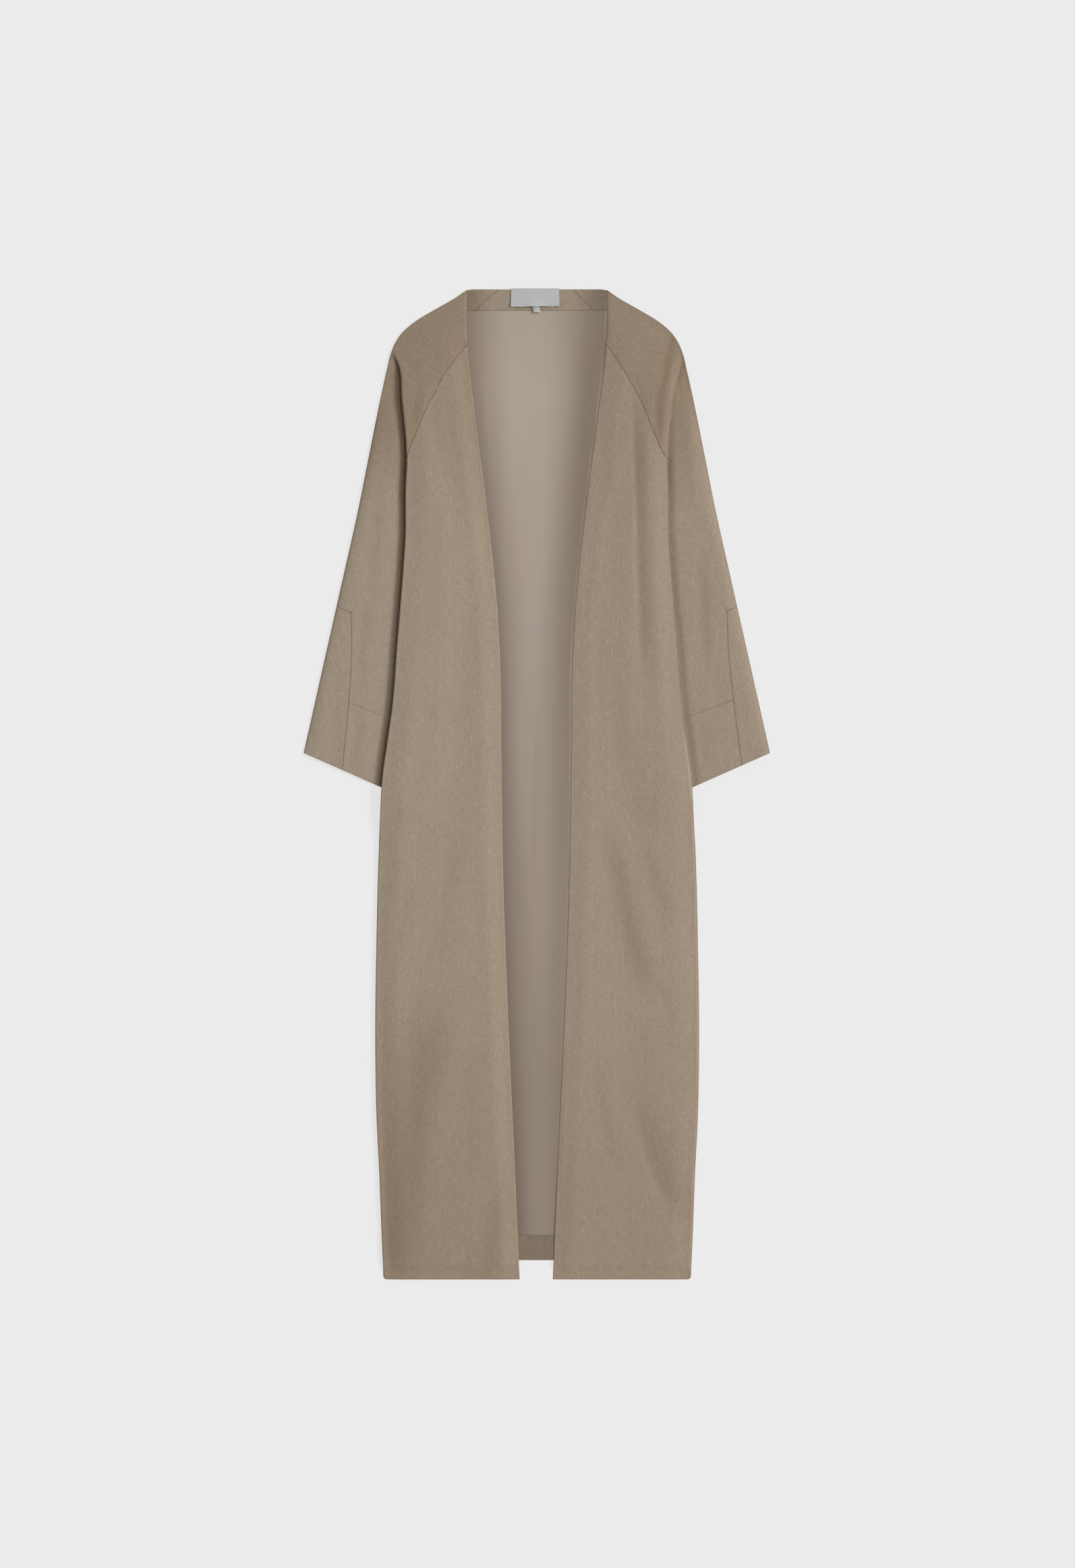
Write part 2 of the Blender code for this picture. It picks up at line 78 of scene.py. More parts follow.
# seams that differ from side to side: -1 is the wearer's right, 1 the left
frontRaglan = {
    -1: ((0.0773, 0.0995), (0.1082, 0.1236), (0.1285, 0.1372), (0.1449, 0.1449), (0.1642, 0.1555),
         (0.1932, 0.1681), (0.2096, 0.1748), (0.2289, 0.1826), (0.2425, 0.1864)),
    1: ((0.0773, 0.0995), (0.1082, 0.12), (0.1285, 0.1322), (0.1449, 0.1418), (0.1642, 0.1515),
        (0.1932, 0.163), (0.2096, 0.17), (0.2289, 0.1785), (0.2425, 0.1864)),
}
backRaglan = {
    -1: ((0.0, 0.056), (0.0294, 0.0883), (0.09, 0.1235), (0.15, 0.147), (0.2096, 0.17), (0.2289, 0.1785),
         (0.2425, 0.1864)),
    1: ((0.0, 0.0522), (0.0294, 0.0821), (0.09, 0.12), (0.15, 0.143), (0.2096, 0.165), (0.2289, 0.1745),
        (0.2425, 0.1864)),
}
stripFront = {
    -1: ((0.4530, 0.0233), (0.5100, 0.0372), (0.5740, 0.0475), (0.6627, 0.0603)),
    1: ((0.4530, 0.0165), (0.5100, 0.0275), (0.5740, 0.0352), (0.6627, 0.0444)),
}
stripWhole = ((0.4530, 0.0450), (0.6627, 0.1050))
sideNames = {-1: "right", 1: "left"}


def smooth(value):
    # eases from 0 to 1: three squares less two cubes of the clipped value
    value = np.clip(value, 0.0, 1.0)
    return value * value * (3.0 - 2.0 * value)


def bell(away, width):
    # 1 in the middle, falling as the exponential of minus the squared distance in widths
    return np.exp(-(away / width) ** 2)


def read(rows, at):
    # smooth curve through the rows: cubic pieces whose slopes come from the neighbours
    keys, values = np.array(rows).T
    slopes = np.gradient(values, keys)
    at = np.clip(at, keys[0], keys[-1])
    start = np.clip(np.searchsorted(keys, at, side="right") - 1, 0, len(keys) - 2)
    step = keys[start + 1] - keys[start]
    part = (at - keys[start]) / step
    rest = 1.0 - part
    return (values[start] * rest * rest * (1.0 + 2.0 * part)
            + values[start + 1] * part * part * (3.0 - 2.0 * part)
            + step * slopes[start] * part * rest * rest
            - step * slopes[start + 1] * part * part * rest)


def spread(count, ends=0.85):
    # steps from 0 to 1, pressed together towards both ends
    even = np.linspace(0.0, 1.0, count)
    return even - ends / (2.0 * math.pi) * np.sin(2.0 * math.pi * even)


def rowsTo(start, end, count):
    # rows from start to end, closest together at both ends, where the seams and hems are
    return start + (end - start) * spread(count, 0.92)


# soft waves of the cloth: height, size across, stretch along, seed
ripples = {
    "front": (0.00018, 0.060, 5.0, 11), "frontFine": (0.00003, 0.018, 4.0, 31),
    "sleeve": (0.0002, 0.045, 5.0, 51), "lining": (0.0003, 0.060, 7.0, 77),
}
rippleCount = 14


def ripple(kind, across, along, side=0):
    # sum of sine waves of random turn and phase, long along the cloth and short across it
    height, size, stretch, seed = ripples[kind]
    draw = np.random.default_rng(seed + side)
    total = np.zeros(np.broadcast(across, along).shape)
    for wave in range(rippleCount):
        turn = draw.normal(0.0, 0.35)
        length = size * draw.uniform(0.6, 1.9)
        phase = draw.uniform(0.0, 2.0 * math.pi)
        reach = (across * math.cos(turn) + along * math.sin(turn) / stretch) / length
        swell = 0.6 + 0.4 * np.sin(along * draw.uniform(5.0, 14.0) + draw.uniform(0.0, 6.0))
        total = total + np.sin(2.0 * math.pi * reach + phase) * swell
    return height * (total / math.sqrt(rippleCount))


# Creases of the upper layer, a row each: depth, near, far, dark, then its (down, half) points. The
# depth goes down into the cloth (minus is a ridge), near and far are the widths towards and away
# from the middle, and dark is how much less light of the room reaches the bottom.
creases = {
    1: (
        (0.0012, 0.0045, 0.0105, 0.17, (0.1, 0.135), (0.2, 0.14), (0.27, 0.143), (0.35, 0.1455),
         (0.415, 0.1475), (0.52, 0.15), (0.6, 0.152)),
        (-0.0008, 0.01, 0.011, 0.0, (0.15, 0.158), (0.27, 0.166), (0.42, 0.172), (0.64, 0.181)),
        (0.0006, 0.01, 0.012, 0.03, (0.2, 0.106), (0.25, 0.1), (0.32, 0.093)),
        (0.0004, 0.006, 0.008, 0.03, (0.4, 0.086), (0.52, 0.088), (0.66, 0.089)),
        (0.0009, 0.0075, 0.005, 0.19, (0.03, 0.206), (0.0676, 0.197), (0.0966, 0.1886), (0.1208, 0.185),
         (0.1478, 0.1782), (0.1942, 0.1744), (0.2415, 0.1725)),
        (-0.0004, 0.005, 0.005, 0.0, (0.07, 0.208), (0.111, 0.1985), (0.1449, 0.1938), (0.1835, 0.1865),
         (0.235, 0.182)),
        (0.0014, 0.017, 0.014, 0.13, (0.74, 0.094), (0.831, 0.112), (0.903, 0.1266), (0.966, 0.1439),
         (1.04, 0.163)),
        (0.0007, 0.013, 0.011, 0.06, (0.77, 0.144), (0.821, 0.158), (0.862, 0.173), (0.93, 0.19)),
        (0.0013, 0.011, 0.026, 0.13, (1.14, 0.138), (1.188, 0.1488), (1.2316, 0.16), (1.285, 0.18),
         (1.345, 0.205)),
        (0.0008, 0.022, 0.018, 0.04, (1.02, 0.15), (1.12, 0.152), (1.19, 0.16)),
        (0.0006, 0.011, 0.011, 0.04, (1.08, 0.079), (1.217, 0.1), (1.29, 0.116)),
        (0.0005, 0.008, 0.01, 0.03, (0.985, 0.17), (1.02, 0.183), (1.06, 0.194)),
        (0.0004, 0.009, 0.011, 0.03, (0.68, 0.176), (0.73, 0.166), (0.78, 0.16)),
    ),
    -1: (
        (0.0013, 0.026, 0.05, 0.16, (0.96, 0.142), (1.106, 0.16), (1.178, 0.1748), (1.275, 0.187),
         (1.41, 0.196), (1.5, 0.2)),
        (0.0007, 0.013, 0.016, 0.05, (0.76, 0.114), (0.821, 0.1217), (0.898, 0.136), (0.99, 0.147)),
        (0.0007, 0.011, 0.01, 0.03, (0.84, 0.185), (0.9, 0.195), (0.99, 0.206)),
        (0.0007, 0.009, 0.01, 0.03, (0.72, 0.193), (0.745, 0.199), (0.78, 0.203)),
        (0.0011, 0.016, 0.02, 0.06, (1.27, 0.052), (1.34, 0.066), (1.42, 0.083), (1.48, 0.096)),
        (0.0006, 0.007, 0.008, 0.03, (1.35, 0.1), (1.41, 0.102), (1.45, 0.102)),
        (0.0006, 0.006, 0.006, 0.04, (0.1, 0.16), (0.15, 0.171), (0.2, 0.18)),
        (-0.0005, 0.005, 0.005, 0.0, (0.12, 0.146), (0.16, 0.16), (0.205, 0.172)),
        (0.0005, 0.008, 0.008, 0.04, (0.045, 0.15), (0.08, 0.165), (0.13, 0.174)),
        (0.0004, 0.014, 0.017, 0.03, (0.45, 0.106), (0.56, 0.11), (0.69, 0.118)),
        (0.0005, 0.014, 0.013, 0.03, (0.3, 0.15), (0.42, 0.158), (0.54, 0.17)),
        (0.0005, 0.015, 0.017, 0.03, (1.06, 0.095), (1.18, 0.101), (1.3, 0.098)),
    ),
}
# creases of the free sleeves, in the same columns; a dark below zero paints a highlight along a ridge
sleeveCreases = {
    1: (
        (0.0006, 0.0018, 0.0052, 0.27, (0.03, 0.234), (0.085, 0.2125), (0.1111, 0.207), (0.1449, 0.1985),
         (0.1835, 0.1937), (0.2125, 0.1905), (0.26, 0.1895), (0.33, 0.192)),
        (0.001, 0.009, 0.008, 0.07, (0.37, 0.232), (0.464, 0.238), (0.56, 0.2405)),
        (0.0005, 0.007, 0.008, 0.03, (0.52, 0.256), (0.57, 0.258), (0.62, 0.259)),
        (-0.0008, 0.009, 0.011, -0.06, (0.15, 0.214), (0.24, 0.222), (0.33, 0.236)),
        (0.0005, 0.008, 0.009, 0.03, (0.6, 0.233), (0.65, 0.238), (0.7, 0.246)),
    ),
    -1: (
        (0.0006, 0.009, 0.008, 0.03, (0.43, 0.243), (0.51, 0.252), (0.59, 0.258)),
        (0.0006, 0.009, 0.01, 0.03, (0.28, 0.226), (0.38, 0.236), (0.47, 0.24)),
        (0.0005, 0.008, 0.008, 0.03, (0.6, 0.253), (0.65, 0.262), (0.7, 0.268)),
    ),
}


def creaseSum(rows, half, down, what):
    # each crease is a bell across its curve, with its own width to either side and soft ends
    total = np.zeros(np.broadcast(half, down).shape)
    for depth, near, far, dark, *at in rows:
        first, last = at[0][0], at[-1][0]
        fade = 0.3 * (last - first)
        window = smooth((down - first) / fade) * smooth((last - down) / fade)
        away = half - read(at, down)
        amount = depth if what == "depth" else dark
        total = total + amount * window * bell(away, np.where(away > 0.0, far, near))
    return total


def neckCurve(half, down):
    # the neck edge stands a little above the shoulders' first row and rounds down into them
    way = np.abs(half)
    edge = -cloak["neckRise"] + 0.0014 * smooth((way - 0.092) / 0.009)
    return down + edge * (1.0 - smooth(down / 0.020))


def bodyLift(half, down, start, end):
    # how far the body has climbed onto the sleeve below it
    amount = smooth((down - start) / (end - start)) * smooth((0.80 - down) / 0.06)
    return amount * smooth((half - read(riseStart, down)) / cloak["rise"])


def backHeight(half, down):
    # the back panel climbs onto the sleeve a little below the front
    return cloak["backLift"] * bodyLift(half, down, 0.200, 0.238)


def pleatEdge(down):
    # edge of the upper layer: the shoulder's pleat, then the side of the body
    return np.minimum(read(sideEdge, down), read(outline, down) - 0.002)


sleeveSwell = {-1: 0.0022, 1: 0.0034}
sleeveLevel = 0.0017  # from one wall's middle to the other's where the tube lies flat

# loft of the upper layer: the open edge over the lining, the middle, and the rounded side
loft = {
    1: {"edge": 0.0026, "edgeReach": 0.045, "press": 0.0004, "belly": 0.0022,
        "side": 0.0012, "sideReach": 0.050, "roll": 0.020, "low": 0.5},
    -1: {"edge": 0.0006, "edgeReach": 0.020, "press": 0.0, "belly": 0.0036,
         "side": 0.0046, "sideReach": 0.045, "roll": 0.0016, "low": 0.25},
}


def sleeveTop(down, side):
    # how high the sleeve's front wall swells beside the body
    growth = smooth((down - 0.12) / 0.10) * (1.0 - 0.7 * smooth((down - 0.62) / 0.08))
    return sleeveSwell[side] * growth


def edgeFade(down):
    # the open edge lies lower towards the hem
    return 1.0 - 0.95 * smooth((down - 1.0) / 0.32)


def upperHeight(half, down, side):
    # underside of the upper layer: level, open edge, belly and side swell, then creases and waves
    shape = loft[side]
    fromFront = np.maximum(half - read(frontEdge, down), 0.0)
    fromSide = np.maximum(pleatEdge(down) - half, 0.0)
    growth = smooth((down - 0.02) / 0.09)
    level = cloak["frontZ"] + cloak["frontLift"] * bodyLift(half, down, 0.075, 0.150)
    edge = shape["edge"] * np.exp(-(fromFront / shape["edgeReach"]) ** 1.3) * growth * edgeFade(down)
    edge = edge - shape["press"] * growth * bell(fromFront, 0.004)
    belly = shape["belly"] * smooth(fromFront / 0.030) * smooth(fromSide / 0.035) * growth
    pleated = smooth((down - 0.080) / 0.05)
    swell = pleated * (1.0 - (1.0 - shape["low"]) * smooth((down - 0.72) / 0.10))
    rolled = np.clip(fromSide / shape["roll"], 0.0, 1.0)
    roundness = np.sqrt(1.0 - (1.0 - rolled) ** 2)
    sideSwell = shape["side"] * swell * roundness * np.exp(-(fromSide / shape["sideReach"]) ** 1.5)
    base = (edge + belly) * (1.0 - pleated * (1.0 - roundness)) + sideSwell
    relief = -creaseSum(creases[side], half, down, "depth")
    waves = ripple("front", half, down, side) + ripple("frontFine", half, down, side)
    soft = smooth(fromSide / 0.010) * smooth(fromFront / 0.006) * growth
    base = base + (relief + waves) * soft
    return level + np.maximum(base, 0.0)


def frontTone(half, down, side):
    # painted shade: the fronts are darker at the shoulders, towards the hem and in their creases
    tone = 1.0 - fronts["topTone"][side] * smooth((0.42 - down) / 0.34)
    tone = tone - fronts["hemTone"][side] * smooth((down - 0.85) / 0.60)
    return tone * (1.0 - creaseSum(creases[side], half, down, "dark"))


def raglanTone(half, down, side):
    # the shoulders are cut on the bias. They are darker, fading out down the sleeve, with painted shade in
    # the creases
    tone = 1.0 - sleeves["shoulderTone"][side] * smooth((0.34 - down) / 0.16)
    return tone * (1.0 - creaseSum(creases[side], half, down, "dark"))


def place(half, down, height, side=1):
    # world points: half out to the wearer's left or right, down from the neck edge
    half, down, height = np.broadcast_arrays(half, down, height)
    return np.stack((side * half, neckY - down, height), axis=-1)


def turned(points, angle=0.0, origin=(0.0, 0.0)):
    # cloth coordinates in metres, the grain turned by an angle in degrees from +Y
    x = points[..., 0] - origin[0]
    y = points[..., 1] - origin[1]
    angle = np.radians(angle)
    return np.stack((x * np.cos(angle) + y * np.sin(angle), y * np.cos(angle) - x * np.sin(angle)), axis=-1)


def meshPiece(name, points, faces, uv, fade, material, sharp=50.0):
    # closed mesh of four-sided faces, turned so that its volume comes out positive; "fade" darkens
    # the cloth where it is pressed into a seam, and holds painted shade and, in a few places, painted light
    corner = points[faces]
    volume = np.einsum("ij,ij->", corner[:, 0], np.cross(corner[:, 1], corner[:, 2]))
    volume = volume + np.einsum("ij,ij->", corner[:, 0], np.cross(corner[:, 2], corner[:, 3]))
    if volume < 0.0:
        faces = faces[:, ::-1]
    mesh = bpy.data.meshes.new(name)
    mesh.vertices.add(len(points))
    mesh.vertices.foreach_set("co", points.astype(np.float32).ravel())
    mesh.loops.add(faces.size)
    mesh.loops.foreach_set("vertex_index", faces.astype(np.int32).ravel())
    mesh.polygons.add(len(faces))
    mesh.polygons.foreach_set("loop_start", np.arange(0, faces.size, 4, dtype=np.int32))
    mesh.update(calc_edges=True)
    layer = mesh.uv_layers.new(name="cloth")
    layer.data.foreach_set("uv", uv[faces.ravel()].astype(np.float32).ravel())
    shade = mesh.attributes.new("fade", "FLOAT", "POINT")
    shade.data.foreach_set("value", fade.astype(np.float32))
    mesh.shade_smooth()
    mesh.set_sharp_from_angle(angle=math.radians(sharp))
    mesh.materials.append(material)
    piece = addObject(name, mesh)
    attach(piece, "root")
    area = np.linalg.norm(np.cross(corner[:, 2] - corner[:, 0], corner[:, 3] - corner[:, 1]), axis=1).sum()
    print("made", name, len(faces), "faces, cloth", round(0.25 * area, 4), "m2")
    return piece


def shell(name, lower, upper, uv, fade, material, keep=None):
    # closed wall between two grids of points: quads above, the same turned over below, and a rim
    rows, columns = lower.shape[:2]
    index = np.arange(rows * columns).reshape(rows, columns)
    quads = np.stack((index[:-1, :-1], index[1:, :-1], index[1:, 1:], index[:-1, 1:]), axis=-1)
    quads = quads.reshape(-1, 4) if keep is None else quads[keep]
    count = rows * columns
    starts = quads.reshape(-1)
    ends = np.roll(quads, -1, axis=1).reshape(-1)
    free = ~np.isin(starts * count + ends, ends * count + starts)
    starts, ends = starts[free], ends[free]
    rim = np.stack((ends, starts, starts + count, ends + count), axis=-1)
    faces = np.concatenate((quads, quads[:, ::-1] + count, rim))
    points = np.concatenate((upper.reshape(-1, 3), lower.reshape(-1, 3)))
    flat = np.concatenate((uv.reshape(-1, 2), uv.reshape(-1, 2)))
    shade = np.tile(np.broadcast_to(fade, (rows, columns)).reshape(-1), 2)
    used, faces = np.unique(faces, return_inverse=True)
    return meshPiece(name, points[used], faces.reshape(-1, 4), flat[used], shade[used], material)


def sheetShell(name, points, thickness, uv, fade, material):
    # one sheet; the thickness is a number or a value for each point
    upper = points + np.asarray(thickness)[..., None] * np.array((0.0, 0.0, 1.0))
    return shell(name, points, upper, uv, fade, material)


def seamDip(away):
    # the cloth turns down into a seam
    return -cloak["seamDip"] * bell(away, cloak["seamWidth"])


def seamFade(away):
    # and is darker there
    return 1.0 - cloak["seamFade"] * bell(away, cloak["seamFadeWidth"])


def edgeTone(away, dark):
    # a folded edge turns away from the light of the room
    return 1.0 - dark * bell(away, cloak["edgeDarkWidth"])


def pressed(away):
    # thickness of the cloth, less at a pressed edge
    return cloth * (1.0 - cloak["edgeThin"] * bell(away, cloak["edgeThinWidth"]))


def addObject(name, data):
    item = bpy.data.objects.new(name, data)
    bpy.context.scene.collection.objects.link(item)
    return item


def setInputs(tree, node, values):
    # each value is a constant for the node's own socket, or another node's socket to link to it
    for label, value in values.items():
        if isinstance(value, bpy.types.NodeSocket):
            tree.links.new(value, node.inputs[label])
        else:
            node.inputs[label].default_value = value


def addNode(tree, kind, values, **settings):
    # a new shader node: its settings first, then its inputs
    node = tree.nodes.new("ShaderNode" + kind)
    for label, value in settings.items():
        setattr(node, label, value)
    setInputs(tree, node, values)
    return node


def newGroup(name, inputs, outputs):
    # shader node group with named inputs and outputs
    group = bpy.data.node_groups.new(name, "ShaderNodeTree")
    for label, kind, value in inputs:
        socket = group.interface.new_socket(label, in_out="INPUT", socket_type="NodeSocket" + kind)
        if value is not None:
            socket.default_value = value
    for label, kind in outputs:
        group.interface.new_socket(label, in_out="OUTPUT", socket_type="NodeSocket" + kind)
    return group, group.nodes.new("NodeGroupInput"), group.nodes.new("NodeGroupOutput")


def mathNode(tree, operation, *values):
    # one Math node of numbers and sockets
    return addNode(tree, "Math", dict(enumerate(values)), operation=operation).outputs[0]


# noise in the weave, in millimetres: across, along, low, high, detail, seed
grains = {
    "warp": (0.8, 8.0, 0.28, 0.72, 1.0, 1.7), "weft": (6.5, 0.8, 0.28, 0.72, 1.0, 4.1),
    "warpSlub": (0.9, 18.0, 0.62, 0.76, 0.0, 8.3), "weftSlub": (12.0, 0.9, 0.60, 0.74, 0.0, 12.9),
    "mottle": (60.0, 90.0, 0.25, 0.75, 1.0, 16.4), "band": (7.0, 300.0, 0.25, 0.75, 1.0, 21.8),
}


def streaks(tree, x, y, across, along, low, high, detail, seed):
    # noise of grains "across" wide and "along" long, spread between low and high
    at = {0: mathNode(tree, "DIVIDE", x, across), 1: mathNode(tree, "DIVIDE", y, along), 2: seed}
    grain = addNode(tree, "CombineXYZ", at).outputs[0]
    noise = addNode(tree, "TexNoise", {"Vector": grain, "Scale": 1.0, "Detail": detail, "Roughness": 0.55})
    ends = {"Value": noise.outputs[0], "From Min": low, "From Max": high}
    return addNode(tree, "MapRange", ends, interpolation_type="SMOOTHSTEP").outputs["Result"]


def makeWeaveGroup():
    # Plain weave: fine warp and weft streaks crossing, thicker pale slubs in both directions,
    # broad mottling and long faint bands along the warp. Tone runs from dark 0 to pale 1.
    group, start, end = newGroup(
        "plainWeave",
        (("Vector", "Vector", None), ("Thread", "Float", 0.55), ("Yarn", "Float", 0.5),
         ("Slub", "Float", 0.5), ("Mottle", "Float", 0.3), ("Band", "Float", 0.2),
         ("Middle", "Float", 0.5)),
        (("Tone", "Float"), ("Height", "Float")))
    scale = addNode(group, "VectorMath", {0: start.outputs["Vector"], "Scale": 1000.0}, operation="SCALE")
    parts = addNode(group, "SeparateXYZ", {0: scale.outputs[0]})
    x, y = parts.outputs[0], parts.outputs[1]
    noise = {name: streaks(group, x, y, *values) for name, values in grains.items()}
    yarn = mathNode(group, "SUBTRACT", mathNode(group, "ADD", noise["warp"], noise["weft"]), 1.0)
    slub = mathNode(group, "MAXIMUM", noise["warpSlub"], noise["weftSlub"])
    mottle = mathNode(group, "SUBTRACT", noise["mottle"], 0.5)
    band = mathNode(group, "SUBTRACT", noise["band"], 0.5)
    tone = start.outputs["Middle"]
    for label, part in (("Yarn", yarn), ("Slub", slub), ("Mottle", mottle), ("Band", band)):
        tone = mathNode(group, "MULTIPLY_ADD", part, start.outputs[label], tone)

    # threads go over and under: the product of a sine along each direction
    turns = mathNode(group, "DIVIDE", 2.0 * math.pi, start.outputs["Thread"])
    overX = mathNode(group, "SINE", mathNode(group, "MULTIPLY", x, turns))
    overY = mathNode(group, "SINE", mathNode(group, "MULTIPLY", y, turns))
    threads = mathNode(group, "MULTIPLY", overX, overY)
    height = mathNode(group, "ADD", mathNode(group, "MULTIPLY_ADD", threads, 0.25, yarn), slub)
    setInputs(group, end, {"Tone": tone, "Height": height})
    return group


channels = ("Red", "Green", "Blue")


def makeShadeGroup():
    # Light that gets into a crease has been between the cloth's faces, so it is warm. Each channel of
    # the cloth's colour is multiplied by the fade raised to its own power: all of it stays at 1.
    numbers = tuple((label, "Float", 1.0) for label in ("Fade", *channels))
    group, start, end = newGroup("creaseShade", (*numbers, ("Cloth", "Color", None)), (("Colour", "Color"),))
    fade = start.outputs["Fade"]
    powers = [mathNode(group, "POWER", fade, start.outputs[label]) for label in channels]
    factor = addNode(group, "CombineXYZ", dict(enumerate(powers))).outputs[0]
    product = addNode(group, "VectorMath", {0: start.outputs["Cloth"], 1: factor}, operation="MULTIPLY")
    setInputs(group, end, {"Colour": product.outputs[0]})
    return group


weaveGroup = makeWeaveGroup()
shadeGroup = makeShadeGroup()


def clothMaterial(name, dark, pale, weave, powers, roughness, sheen, bump, specular=0.25):
    # the weave's tone mixes dark with pale, and the point's fade darkens that by the given powers
    material = bpy.data.materials.new(name)
    material.use_nodes = True
    tree = material.node_tree
    uv = addNode(tree, "UVMap", {}, uv_map="cloth").outputs["UV"]
    pattern = addNode(tree, "Group", {**weave, "Vector": uv}, node_tree=weaveGroup)
    colour = addNode(tree, "Mix", {0: pattern.outputs["Tone"]}, data_type="RGBA", clamp_factor=True)
    ends = [socket for socket in colour.inputs if socket.type == "RGBA"]
    ends[0].default_value = (*dark, 1.0)
    ends[1].default_value = (*pale, 1.0)
    mixed = [socket for socket in colour.outputs if socket.type == "RGBA"][0]
    fade = addNode(tree, "Attribute", {}, attribute_name="fade").outputs["Fac"]
    shades = {**dict(zip(channels, powers)), "Cloth": mixed, "Fade": fade}
    shaded = addNode(tree, "Group", shades, node_tree=shadeGroup)
    threads = pattern.outputs["Height"]
    relief = addNode(tree, "Bump", {"Strength": bump, "Distance": 0.0004, "Height": threads})
    setInputs(tree, tree.nodes["Principled BSDF"], {
        "Base Color": shaded.outputs["Colour"], "Normal": relief.outputs["Normal"], "Roughness": roughness,
        "Specular IOR Level": specular, "Sheen Weight": sheen, "Sheen Roughness": 0.45})
    return material


linenWeave = {"Thread": 0.55, "Yarn": 0.22, "Slub": 0.23, "Mottle": 0.03, "Band": 0.02, "Middle": 0.485}
linenTones = ((0.243, 0.190, 0.137), (0.430, 0.345, 0.263))
# powers of the painted shade: warm on the outside pieces, nearly neutral on the inside ones
warmShade = (0.85, 1.12, 1.40)
insideShade = (0.98, 1.02, 1.08)
linen = clothMaterial("sandLinen", *linenTones, linenWeave, warmShade, 0.86, 0.12, 0.30)
linenInside = clothMaterial("sandLinenInside", *linenTones, linenWeave, insideShade, 0.86, 0.12, 0.30)
liningWeave = {"Thread": 0.30, "Yarn": 0.05, "Slub": 0.02, "Mottle": 0.30, "Band": 0.55, "Middle": 0.50}
liningCloth = clothMaterial("smoothLining", (0.432, 0.350, 0.282), (0.414, 0.360, 0.308), liningWeave,
                            (0.94, 1.08, 1.20), 0.55, 0.05, 0.06, 0.35)
tapeWeave = {"Thread": 0.35, "Yarn": 0.06, "Slub": 0.03, "Mottle": 0.05, "Band": 0.06, "Middle": 0.50}
labelTape = clothMaterial("wovenTape", (0.415, 0.418, 0.420), (0.505, 0.508, 0.508), tapeWeave,
                          warmShade, 0.60, 0.05, 0.12, 0.35)
thread = clothMaterial("sewingThread", (0.120, 0.094, 0.068), (0.200, 0.160, 0.120), tapeWeave,
                       warmShade, 0.70, 0.05, 0.10)
print("materials ready")

fronts = {
    "columns": 76, "raglanRows": 64, "bodyRows": 400, "hemCorner": 0.0048,
    "flat": (0.200, 1.350), "area": 0.213,
    "topTone": {-1: 0.14, 1: 0.09}, "hemTone": {-1: 0.12, 1: 0.08}, "sideTone": {-1: 0.0, 1: 0.12},
    "rollDown": {-1: 0.0014, 1: 0.0040},  # width of the side's roll
    "openShift": 0.0008, "sideShift": {-1: -0.0003, 1: 0.0007},  # moves of the edges from their tables
    # below the back's hem: the width of the slope, the part of the waves that stays, and its light
    "settle": 0.018, "settleWaves": 0.45, "slopeLight": 0.05,
}


